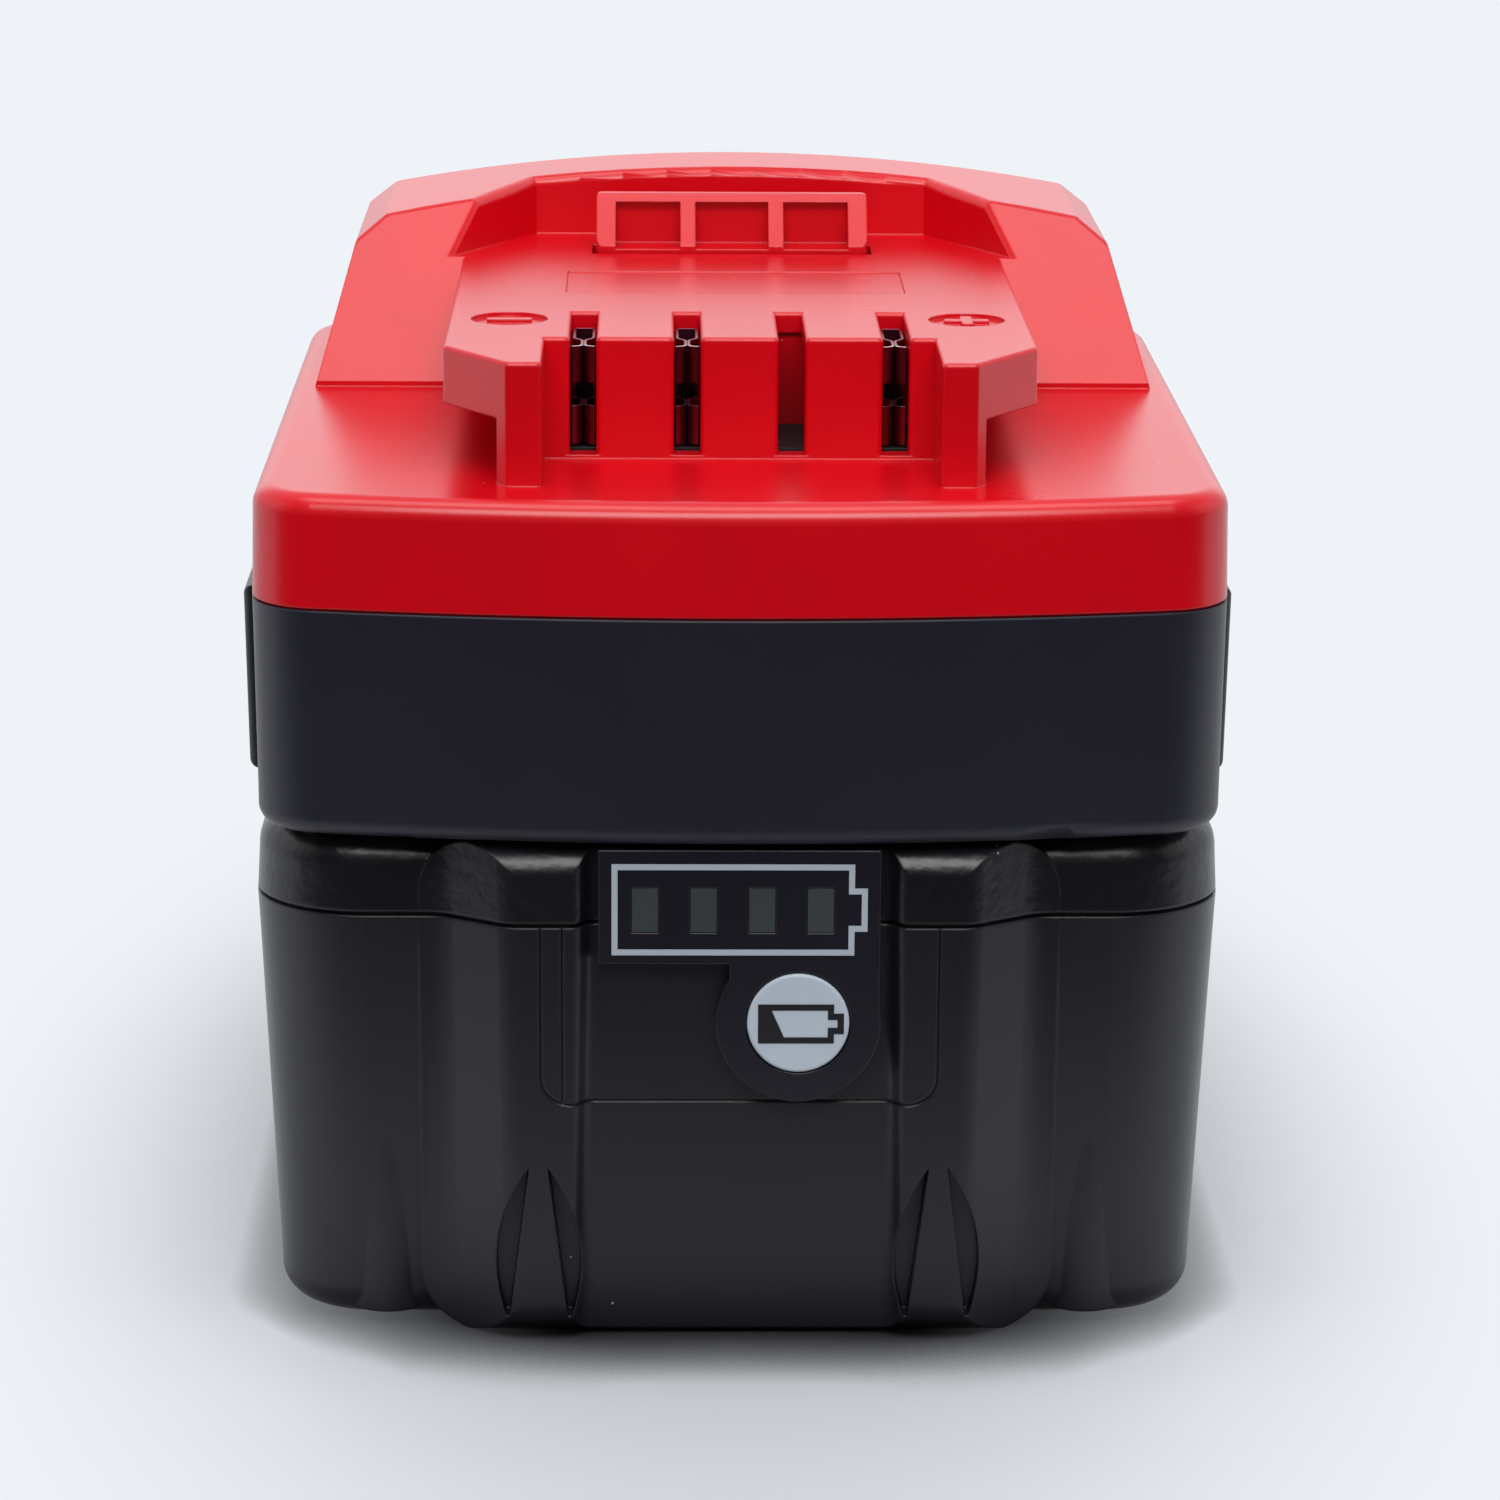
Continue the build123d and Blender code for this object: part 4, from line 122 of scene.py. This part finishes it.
def moulded(name, colour, roughness, relief, dust=0.1, grain=0.0004, spread=0.08, edge=0.0003):
    """A moulded plastic: colour, gloss with slow mottling, fine relief, dust and softened edges."""
    material = bpy.data.materials.new(name)
    material.use_nodes = True
    tree = material.node_tree
    made, link = tree.nodes.new, tree.links.new
    shader = tree.nodes["Principled BSDF"]
    surface = made("ShaderNodeGroup")
    surface.node_tree = surface_group
    surface.inputs["Grain Size"].default_value = grain
    surface.inputs["Dust"].default_value = dust
    deeper = (*[c * 0.9 for c in colour], 1.0)
    paler = (*[min(1.0, c * 1.1) for c in colour], 1.0)
    dust_colour = (*[0.25 + 0.5 * c for c in colour], 1.0)
    tone = blended(tree, surface.outputs["Mottle"], deeper, paler)
    link(blended(tree, surface.outputs["Dust"], tone, dust_colour), shader.inputs["Base Color"])
    gloss = ranged(tree, surface.outputs["Mottle"], 0.0, 1.0, roughness - spread / 2, roughness + spread / 2)
    link(gloss, shader.inputs["Roughness"])
    rounded = made("ShaderNodeBevel")
    rounded.samples = 6
    rounded.inputs["Radius"].default_value = edge
    bump = made("ShaderNodeBump")
    bump.inputs["Strength"].default_value = 1.0
    bump.inputs["Distance"].default_value = relief
    link(surface.outputs["Grain"], bump.inputs["Height"])
    link(rounded.outputs["Normal"], bump.inputs["Normal"])
    link(bump.outputs["Normal"], shader.inputs["Normal"])
    return material


def dress(names, material):
    for name in names:
        nodes[name].data.materials.clear()
        nodes[name].data.materials.append(material)


dress(["lower_housing"], moulded("ring_plastic", (0.0108, 0.0102, 0.0215), 0.42, 0.000006, dust=0.06))

# Blade holder, signal plug, signal socket and terminal carrier: small matt black mouldings
# that hold the metal blades and clips apart. They are clamped between the housings.
dress(
    ["blade_holder", "signal_plug", "terminal_carrier", "signal_socket"],
    moulded("carrier_plastic", (0.006, 0.006, 0.007), 0.55, 0.000006, dust=0.0, edge=0.0001),
)

# Blades, straps and the pack's contacts: tin plated copper alloy, stamped and folded. Screws
# are of zinc plated steel, and the cells' strips and the check switch's can of nickel. Drawn
# metal has a fine streak along it, and its cut edges are a little rounded.
streaks_across_per_metre = 900.0
streaks_along_per_metre = 120.0
metal_edge_r = 0.0001


def sheet_metal(name, colour, roughness):
    material = bpy.data.materials.new(name)
    material.use_nodes = True
    tree = material.node_tree
    made, link = tree.nodes.new, tree.links.new
    shader = tree.nodes["Principled BSDF"]
    shader.inputs["Metallic"].default_value = 1.0
    place = made("ShaderNodeTexCoord")
    stretch = made("ShaderNodeMapping")
    stretch.inputs["Scale"].default_value = (
        streaks_across_per_metre, streaks_along_per_metre, streaks_across_per_metre,
    )
    link(place.outputs["Object"], stretch.inputs["Vector"])
    streaks = made("ShaderNodeTexNoise")
    streaks.inputs["Scale"].default_value = 1.0
    streaks.inputs["Detail"].default_value = 3.0
    link(stretch.outputs["Vector"], streaks.inputs["Vector"])
    deeper = (*[c * 0.75 for c in colour], 1.0)
    link(blended(tree, streaks.outputs["Fac"], deeper, (*colour, 1.0)), shader.inputs["Base Color"])
    gloss = ranged(tree, streaks.outputs["Fac"], 0.0, 1.0, roughness * 0.7, roughness * 1.3)
    link(gloss, shader.inputs["Roughness"])
    rounded = made("ShaderNodeBevel")
    rounded.samples = 4
    rounded.inputs["Radius"].default_value = metal_edge_r
    link(rounded.outputs["Normal"], shader.inputs["Normal"])
    return material


dress(
    [
        "pack_blade_negative", "pack_blade_positive", "power_strap_negative", "power_strap_positive",
        "pack_contact_negative", "pack_contact_positive",
    ],
    sheet_metal("plated_copper", (0.82, 0.79, 0.74), 0.22),
)
dress(["housing_screws", "pack_screws"], sheet_metal("zinc_steel", (0.46, 0.46, 0.48), 0.35))
dress(["cell_strips_left", "cell_strips_right", "check_switch"], sheet_metal("nickel_strip", (0.7, 0.67, 0.6), 0.3))

# Tool contacts: each is one strip of dark bronze folded into a U, standing in the terminal
# carrier. Its upper and lower pairs of leaves flare at the slot's mouth, pinch the tool's
# blade and part again towards the fold. The strip's wine-red tint is a painted reflection of
# the red housing, and its up-facing cut front edges carry a painted highlight.
leaf_gauge = 0.00022
fold_depth = 0.0087
leaf_base_z = 0.063
lower_leaf_bottom_z = 0.06875
lower_leaf_top_z = 0.0719
upper_leaf_bottom_z = 0.07375
sharpest_bend = math.radians(40.0)
# Painted highlight: the up-facing cut edges in this band at the slot's mouth are painted pale.
highlight_front_y, highlight_rear_y = -0.0354, -0.0351
highlight_pale = (0.8, 0.7, 0.7, 1.0)
# Half of the leaf's plan, from the mouth inwards: depth behind the mouth, and distance from the slot's middle
leaf_plan = [
    (0.00015, 0.00092), (0.00022, 0.00066), (0.00032, 0.00042), (0.0005, 0.00022), (0.0008, 0.000125),
    (0.0028, 0.000125), (0.0032, 0.00026), (0.0037, 0.00062), (0.0041, 0.00078),
]

# Dark metal whose wine-red base colour is a painted reflection of the red housing round it.
contact_metal = sheet_metal("contact_metal", (0.3, 0.07, 0.12), 0.3)
contact_tree = contact_metal.node_tree
made, link = contact_tree.nodes.new, contact_tree.links.new
facing = made("ShaderNodeSeparateXYZ")
link(made("ShaderNodeNewGeometry").outputs["True Normal"], facing.inputs[0])
place = made("ShaderNodeSeparateXYZ")
link(made("ShaderNodeTexCoord").outputs["Object"], place.inputs[0])
# Painted highlight: faces that point up, near the mouth, are mixed towards the pale colour.
cut_edge = ranged(contact_tree, facing.outputs["Z"], 0.6, 0.9, 0.0, 1.0)
at_front = ranged(contact_tree, place.outputs["Y"], highlight_rear_y, highlight_front_y, 0.0, 1.0)
highlight_share = worked(contact_tree, "MULTIPLY", cut_edge, at_front)
contact_colour = contact_tree.nodes["Principled BSDF"].inputs["Base Color"]
streaked = contact_colour.links[0].from_socket
link(blended(contact_tree, highlight_share, streaked, highlight_pale), contact_colour)


def cut_strip(name, low, high):
    """The strip's middle surface as a grid of quads, with the openings between the leaves left out."""
    middle_x = (low.x + high.x) / 2
    half = leaf_plan + [(fold_depth, leaf_plan[-1][1])]
    plan = [(-x, y) for y, x in half] + [(x, y) for y, x in reversed(half)]
    levels = (low.z, leaf_base_z, lower_leaf_bottom_z, lower_leaf_top_z, upper_leaf_bottom_z, high.z)
    tail_band, leaf_bands = 0, (2, 4)
    fold_step = len(half) - 1
    leaf_steps = len(leaf_plan) - 1
    quads = []
    for band in range(len(levels) - 1):
        for step in range(len(plan) - 1):
            in_leaf = step < leaf_steps or step >= len(plan) - 1 - leaf_steps
            in_wall = band != tail_band and not in_leaf
            if step == fold_step or in_wall or (in_leaf and band in leaf_bands):
                first = band * len(plan) + step
                above = first + len(plan)
                quads.append((first, first + 1, above + 1, above))
    mesh = bpy.data.meshes.new(name)
    mesh.from_pydata([(middle_x + x, low.y + y, z) for z in levels for x, y in plan], [], quads)
    return mesh


def finished_mesh(piece):
    """The piece's mesh with its modifiers applied. The piece itself is removed."""
    bpy.context.view_layer.update()
    shape = piece.evaluated_get(bpy.context.evaluated_depsgraph_get())
    mesh = bpy.data.meshes.new_from_object(shape)
    bpy.data.objects.remove(piece)
    return mesh


def placed(name, data):
    piece = bpy.data.objects.new(name, data)
    bpy.context.scene.collection.objects.link(piece)
    return piece


for pole in ("negative", "signal", "positive"):
    corners = [vertex.co for vertex in nodes[f"tool_contact_{pole}"].data.vertices]
    contact_low = Vector([min(corner[axis] for corner in corners) for axis in range(3)])
    contact_high = Vector([max(corner[axis] for corner in corners) for axis in range(3)])
    name = f"contact_strip_{pole}"
    flat_strip = placed(name, cut_strip(name, contact_low, contact_high))
    gauge = flat_strip.modifiers.new("gauge", "SOLIDIFY")
    gauge.thickness = leaf_gauge
    gauge.offset = 0.0
    gauge.use_even_offset = True
    folded = finished_mesh(flat_strip)
    shell = bmesh.new()
    shell.from_mesh(folded)
    loose = [vertex for vertex in shell.verts if not vertex.link_faces]
    bmesh.ops.delete(shell, geom=loose, context="VERTS")
    bmesh.ops.recalc_face_normals(shell, faces=shell.faces)
    shell.to_mesh(folded)
    shell.free()
    folded.materials.append(contact_metal)
    folded.shade_smooth()
    folded.set_sharp_from_angle(angle=sharpest_bend)
    contact = placed(name, folded)
    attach(contact, "adapter")
    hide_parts(f"tool_contact_{pole}")
    dress([f"tool_contact_{pole}"], contact_metal)


# Springs: music wire wound into open coils whose end turns close up, so that they stand square.
# Two push the tool latch up, one stands behind each release pad and one under the pack latch.
points_per_turn = 28
points_round_wire = 10
closed_share = 0.85


def wound_spring():
    tree = bpy.data.node_groups.new("wound_spring", "GeometryNodeTree")
    face = tree.interface
    for name, kind, value in (
        ("Coils", "NodeSocketInt", 1),
        ("Spacing", "NodeSocketFloat", 0.013),
        ("Outer Radius", "NodeSocketFloat", 0.002),
        ("Wire Radius", "NodeSocketFloat", 0.0002),
        ("Turns", "NodeSocketFloat", 6.0),
        ("Length", "NodeSocketFloat", 0.0075),
    ):
        face.new_socket(name, in_out="INPUT", socket_type=kind).default_value = value
    face.new_socket("Wire", in_out="INPUT", socket_type="NodeSocketMaterial")
    face.new_socket("Geometry", in_out="OUTPUT", socket_type="NodeSocketGeometry")
    made, link = tree.nodes.new, tree.links.new
    given = made("NodeGroupInput").outputs
    # The wire's middle line, drawn as an even spiral and then closed up towards both ends
    middle_radius = worked(tree, "SUBTRACT", given["Outer Radius"], given["Wire Radius"])
    rise = worked(tree, "SUBTRACT", given["Length"], worked(tree, "MULTIPLY", given["Wire Radius"], 2.0))
    spiral = made("GeometryNodeCurveSpiral")
    spiral.inputs["Resolution"].default_value = points_per_turn
    link(given["Turns"], spiral.inputs["Rotations"])
    link(middle_radius, spiral.inputs["Start Radius"])
    link(middle_radius, spiral.inputs["End Radius"])
    link(rise, spiral.inputs["Height"])
    parts = made("ShaderNodeSeparateXYZ")
    link(made("GeometryNodeInputPosition").outputs[0], parts.inputs[0])
    even_z = parts.outputs["Z"]
    closing = ranged(tree, even_z, 0.0, rise, 0.0, worked(tree, "MULTIPLY", rise, closed_share), smooth=True)
    height = worked(tree, "ADD", closing, worked(tree, "MULTIPLY", even_z, 1.0 - closed_share))
    point = made("ShaderNodeCombineXYZ")
    link(parts.outputs["X"], point.inputs["X"])
    link(parts.outputs["Y"], point.inputs["Y"])
    link(worked(tree, "ADD", height, given["Wire Radius"]), point.inputs["Z"])
    closed = made("GeometryNodeSetPosition")
    link(spiral.outputs[0], closed.inputs["Geometry"])
    link(point.outputs[0], closed.inputs["Position"])
    section = made("GeometryNodeCurvePrimitiveCircle")
    section.inputs["Resolution"].default_value = points_round_wire
    link(given["Wire Radius"], section.inputs["Radius"])
    wire = made("GeometryNodeCurveToMesh")
    link(closed.outputs[0], wire.inputs["Curve"])
    link(section.outputs[0], wire.inputs["Profile Curve"])
    wire.inputs["Fill Caps"].default_value = True
    # One coil on each point of a short row across the part
    row = made("GeometryNodeMeshLine")
    link(given["Coils"], row.inputs["Count"])
    first_x = made("ShaderNodeCombineXYZ")
    step_x = made("ShaderNodeCombineXYZ")
    link(given["Spacing"], step_x.inputs["X"])
    half = worked(tree, "MULTIPLY", worked(tree, "SUBTRACT", given["Coils"], 1.0), -0.5)
    link(worked(tree, "MULTIPLY", half, given["Spacing"]), first_x.inputs["X"])
    link(first_x.outputs[0], row.inputs["Start Location"])
    link(step_x.outputs[0], row.inputs["Offset"])
    stand = made("GeometryNodeInstanceOnPoints")
    link(row.outputs[0], stand.inputs["Points"])
    link(wire.outputs[0], stand.inputs["Instance"])
    real = made("GeometryNodeRealizeInstances")
    link(stand.outputs[0], real.inputs[0])
    coat = made("GeometryNodeSetMaterial")
    link(real.outputs[0], coat.inputs["Geometry"])
    link(given["Wire"], coat.inputs["Material"])
    link(coat.outputs[0], made("NodeGroupOutput").inputs[0])
    return tree


spring_tree = wound_spring()
spring_wire = sheet_metal("spring_wire", (0.62, 0.62, 0.64), 0.25)
dress(["tool_latch_springs", "release_spring_left", "release_spring_right", "pack_latch_spring"], spring_wire)


def fit_spring(name, node, body, seat, direction, length, turns, coils=1, outer=0.002):
    """Wind a spring from its fixed seat."""
    start = placed(name, bpy.data.meshes.new(name))
    modifier = start.modifiers.new("wound_spring", "NODES")
    modifier.node_group = spring_tree
    sockets = {item.name: item.identifier for item in spring_tree.interface.items_tree if item.in_out == "INPUT"}
    modifier[sockets["Coils"]] = coils
    modifier[sockets["Outer Radius"]] = outer
    modifier[sockets["Turns"]] = float(turns)
    modifier[sockets["Length"]] = length
    modifier[sockets["Wire"]] = spring_wire
    mesh = finished_mesh(start)
    turn = Vector((0.0, 0.0, 1.0)).rotation_difference(Vector(direction)).to_matrix().to_4x4()
    mesh.transform(Matrix.Translation(seat) @ turn)
    mesh.shade_smooth()
    spring = placed(name, mesh)
    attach(spring, body)
    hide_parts(node)
    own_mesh(spring)


upwards = (0.0, 0.0, 1.0)
fit_spring(
    "tool_latch_coils", "tool_latch_springs", "adapter", seat=(0.0, 0.007, 0.05505), direction=upwards,
    length=0.0109, turns=9, coils=2, outer=0.0019,
)
for side, hand in ((-1.0, "left"), (1.0, "right")):
    fit_spring(
        f"release_coil_{hand}", f"release_spring_{hand}", "adapter", seat=(side * 0.03035, -0.021, 0.0505),
        direction=(side, 0.0, 0.0), length=0.00755, turns=6,
    )
fit_spring(
    "pack_latch_coil", "pack_latch_spring", "battery_pack", seat=(0.0, 0.04175, 0.0452), direction=upwards,
    length=0.0064, turns=6,
)

# Circuit boards with their chips and lights: green solder mask and moulded black packages.
# The adapter's board stands on its standoffs, the pack's boards on the cell holders.
dress(
    ["adapter_board", "main_board", "gauge_board"],
    moulded("solder_mask", (0.012, 0.1, 0.035), 0.3, 0.000004, dust=0.0, edge=0.0001),
)
dress(
    ["adapter_board_chips", "main_board_parts"],
    moulded("chip_package", (0.012, 0.012, 0.013), 0.5, 0.000004, dust=0.0, edge=0.0001),
)
dress(["gauge_lights"], moulded("clear_diode", (0.6, 0.6, 0.55), 0.2, 0.000002, dust=0.0, edge=0.0001))

# Top housing: one glossy red moulding with the tool's rails, terminal slots, shoulders and
# arch. It is screwed down onto the ring, with a fine joint line between the two.
red = moulded("red_plastic", (0.62, 0.0004, 0.007), 0.27, 0.0000025, dust=0.12, spread=0.02, edge=0.0002)
dress(["top_housing"], red)

# Tool latch and release pads: the latch is the same red plastic, sprung up through its
# window. The pads are black, with finger grooves, and draw it down by their sloped arms.
dress(["tool_latch"], red)
dress(
    ["release_pad_left", "release_pad_right"],
    moulded("pad_plastic", (0.011, 0.011, 0.014), 0.4, 0.000008, dust=0.05),
)

# Pack case and cover: the battery's two black shells, screwed together from below. The
# case is satin, and the cover and its latch have a fine spark-eroded grain.
dress(["pack_case"], moulded("case_plastic", (0.0072, 0.0068, 0.0105), 0.34, 0.000005, dust=0.16, spread=0.1))
dress(
    ["pack_cover", "pack_latch"],
    moulded("cover_plastic", (0.0055, 0.005, 0.0075), 0.32, 0.00006, dust=0.1, grain=0.0011),
)

# Charge gauge: a smooth black bezel with a printed battery outline round four milky
# windows, and a white check button with its printed pictogram.
print_edge = 0.00002
dress(["gauge_bezel"], moulded("bezel_film", (0.009, 0.0082, 0.0145), 0.3, 0.000002, dust=0.08, edge=0.0002))
dress(["gauge_outline_print"], moulded("print_grey", (0.4, 0.44, 0.5), 0.45, 0.00001, dust=0.0, edge=print_edge))
dress(["gauge_windows"], moulded("window_milk", (0.042, 0.05, 0.055), 0.35, 0.000002, dust=0.0, edge=0.00005))
dress(["check_button"], moulded("button_white", (0.46, 0.52, 0.59), 0.35, 0.000002, dust=0.05, edge=0.0002))
dress(["check_button_symbol"], moulded("symbol_black", (0.01, 0.01, 0.013), 0.4, 0.000002, dust=0.0, edge=print_edge))

# Cells and their holders: ten wrapped steel cans in two grey moulded combs, never seen
# from outside. The wrap is shrink film with a slight sheen.
dress(
    [f"cell_{number}" for number in range(1, 11)],
    moulded("cell_wrap", (0.03, 0.12, 0.3), 0.28, 0.000004, dust=0.0, edge=0.0002),
)
dress(
    ["cell_holder_left", "cell_holder_right"],
    moulded("holder_plastic", (0.05, 0.05, 0.055), 0.5, 0.000006, dust=0.0, edge=0.0002),
)

# Studio floor: pale paper that darkens where the part stands close over it, and runs into
# the pale background away from the part. Only the camera and mirrors see that background.
background = (0.86, 0.895, 0.94, 1.0)
floor_reach = 3.0
paper_pale = (0.95, 0.97, 1.0, 1.0)
paper_shaded = (0.02, 0.02, 0.024, 1.0)
room_dark = (0.02, 0.02, 0.025, 1.0)
shade_falloff = 5.0
shade_reach_middle, shade_reach_side = 0.012, 0.005
shade_middle_half, shade_side_half = 0.026, 0.038
fade_narrowing = (2.2, 1.0, 1.0)
fade_start, fade_end = 0.06, 0.16
paper_ends_y, paper_whole_y = -0.14, -0.075


def shaded(tree, share, first, second):
    """Two shaders mixed by a share between 0 and 1."""
    mix = tree.nodes.new("ShaderNodeMixShader")
    for socket, value in zip(mix.inputs, (share, first, second)):
        tree.links.new(value, socket)
    return mix.outputs[0]


floor_mesh = bpy.data.meshes.new("studio_floor")
floor_mesh.from_pydata(
    [(x * floor_reach, y * floor_reach, 0.0) for x, y in ((-1, -1), (1, -1), (1, 1), (-1, 1))], [], [(0, 1, 2, 3)]
)
floor = placed("studio_floor", floor_mesh)
floor_material = bpy.data.materials.new("studio_floor")
floor_material.use_nodes = True
floor_tree = floor_material.node_tree
made, link = floor_tree.nodes.new, floor_tree.links.new
paper = floor_tree.nodes["Principled BSDF"]
paper.inputs["Roughness"].default_value = 0.6
rays = made("ShaderNodeLightPath").outputs
place = made("ShaderNodeTexCoord").outputs["Object"]
axes = made("ShaderNodeSeparateXYZ")
link(place, axes.inputs[0])
# Contact shade, narrower towards the part's sides
near = made("ShaderNodeAmbientOcclusion")
near.samples = 8
off_middle = worked(floor_tree, "ABSOLUTE", axes.outputs["X"])
shade_reach = ranged(
    floor_tree, off_middle, shade_middle_half, shade_side_half, shade_reach_middle, shade_reach_side
)
link(shade_reach, near.inputs["Distance"])
open_share = worked(floor_tree, "POWER", near.outputs["AO"], shade_falloff)
link(blended(floor_tree, open_share, paper_shaded, paper_pale), paper.inputs["Base Color"])
# Fade into the background, by distance in an oval round the part
oval = made("ShaderNodeVectorMath")
oval.operation = "MULTIPLY"
oval.inputs[1].default_value = fade_narrowing
link(place, oval.inputs[0])
distance = made("ShaderNodeVectorMath")
distance.operation = "LENGTH"
link(oval.outputs[0], distance.inputs[0])
faded = ranged(floor_tree, distance.outputs["Value"], fade_start, fade_end, 0.0, 1.0, smooth=True)
seen = worked(floor_tree, "MAXIMUM", rays["Is Camera Ray"], rays["Is Glossy Ray"])
backdrop = made("ShaderNodeEmission")
backdrop.inputs["Color"].default_value = background
faded_paper = shaded(
    floor_tree, worked(floor_tree, "MULTIPLY", faded, seen), paper.outputs[0], backdrop.outputs[0]
)
# Away from the camera's own view the paper ends a little in front of the part, and dark room follows
past_end = ranged(floor_tree, axes.outputs["Y"], paper_ends_y, paper_whole_y, 1.0, 0.0)
unseen = worked(floor_tree, "SUBTRACT", 1.0, rays["Is Camera Ray"])
room = made("ShaderNodeBsdfDiffuse")
room.inputs["Color"].default_value = room_dark
floor_surface = shaded(
    floor_tree, worked(floor_tree, "MULTIPLY", past_end, unseen), faded_paper, room.outputs[0]
)
link(floor_surface, floor_tree.nodes["Material Output"].inputs["Surface"])
floor_mesh.materials.append(floor_material)

# Studio room: a soft, slightly blue light from all sides. The camera sees it pale, and mirrors
# see it pale behind the part and dark on the camera's side.
world = bpy.data.worlds.new("studio")
bpy.context.scene.world = world
world.use_nodes = True
sky = world.node_tree
made, link = sky.nodes.new, sky.links.new


def lit(node, colour, strength):
    node.inputs["Color"].default_value = colour
    node.inputs["Strength"].default_value = strength
    return node.outputs[0]


room_light = lit(sky.nodes["Background"], (0.9, 0.94, 1.0, 1.0), 0.42)
pale_wall = lit(made("ShaderNodeBackground"), background, 1.0)
dark_wall = lit(made("ShaderNodeBackground"), (0.03, 0.03, 0.04, 1.0), 1.0)
axes = made("ShaderNodeSeparateXYZ")
link(made("ShaderNodeTexCoord").outputs["Generated"], axes.inputs[0])
rays = made("ShaderNodeLightPath").outputs
walls = shaded(sky, ranged(sky, axes.outputs["Y"], -0.6, 0.5, 0.0, 1.0), dark_wall, pale_wall)
mirrored = worked(sky, "MAXIMUM", rays["Is Glossy Ray"], rays["Is Transmission Ray"])
behind = shaded(sky, mirrored, room_light, walls)
link(shaded(sky, rays["Is Camera Ray"], behind, pale_wall), sky.nodes["World Output"].inputs["Surface"])


# Studio lamps: five softboxes, the strongest high in front, a wide one behind, one overhead
# and a faint one on each side.
def softbox(name, place, aim, width, height, watts):
    lamp = bpy.data.lights.new(name, "AREA")
    lamp.shape = "RECTANGLE"
    lamp.size = width
    lamp.size_y = height
    lamp.energy = watts
    lamp.color = (1.0, 0.985, 0.97)
    box = placed(name, lamp)
    direction = Vector(aim) - Vector(place)
    box.matrix_world = Matrix.Translation(place) @ direction.to_track_quat("-Z", "Y").to_matrix().to_4x4()
    return box


softbox("overhead", (0.0, -0.07, 0.62), (0.0, 0.0, 0.06), 0.5, 0.24, 1.3)
softbox("rear", (0.0, 1.0, 0.36), (0.0, 0.0, 0.08), 1.3, 0.5, 0.8)
front_box = softbox("front_top", (0.0, -0.7, 0.75), (0.0, 0.0, 0.05), 0.7, 0.4, 6.4)
softbox("left_side", (-0.62, -0.05, 0.3), (0.0, 0.0, 0.05), 0.5, 0.45, 0.3)
softbox("right_side", (0.62, -0.05, 0.3), (0.0, 0.0, 0.05), 0.5, 0.45, 0.3)
# The front box is flagged off the floor, so that the part's own shadow stays in front of it
floor_flag = bpy.data.collections.new("floor_flag")
floor_flag.objects.link(floor)
floor_flag.collection_objects[0].light_linking.link_state = "EXCLUDE"
front_box.light_linking.receiver_collection = floor_flag

# Camera: fitted to the edges of the picture, a long lens slightly above the adapter.
camera_data = bpy.data.cameras.new("camera")
camera_data.sensor_width = 36.0
camera_data.lens = 124.8
camera_data.clip_start = 0.01
camera_data.clip_end = 20.0
camera = placed("camera", camera_data)
camera_place = Vector((-0.00695, -0.44478, 0.14795))
tilt, turn, roll = 0.2499, -0.0196, -0.0067
level_right = Vector((math.cos(turn), math.sin(turn), 0.0))
forward = Vector((-math.sin(turn) * math.cos(tilt), math.cos(turn) * math.cos(tilt), -math.sin(tilt)))
level_up = Vector((-math.sin(turn) * math.sin(tilt), math.cos(turn) * math.sin(tilt), math.cos(tilt)))
right = level_right * math.cos(roll) - level_up * math.sin(roll)
up = level_right * math.sin(roll) + level_up * math.cos(roll)
camera.matrix_world = Matrix(
    [(right[row], up[row], -forward[row], camera_place[row]) for row in range(3)] + [(0.0, 0.0, 0.0, 1.0)]
)
bpy.context.scene.camera = camera
bpy.context.scene.view_settings.view_transform = "Standard"
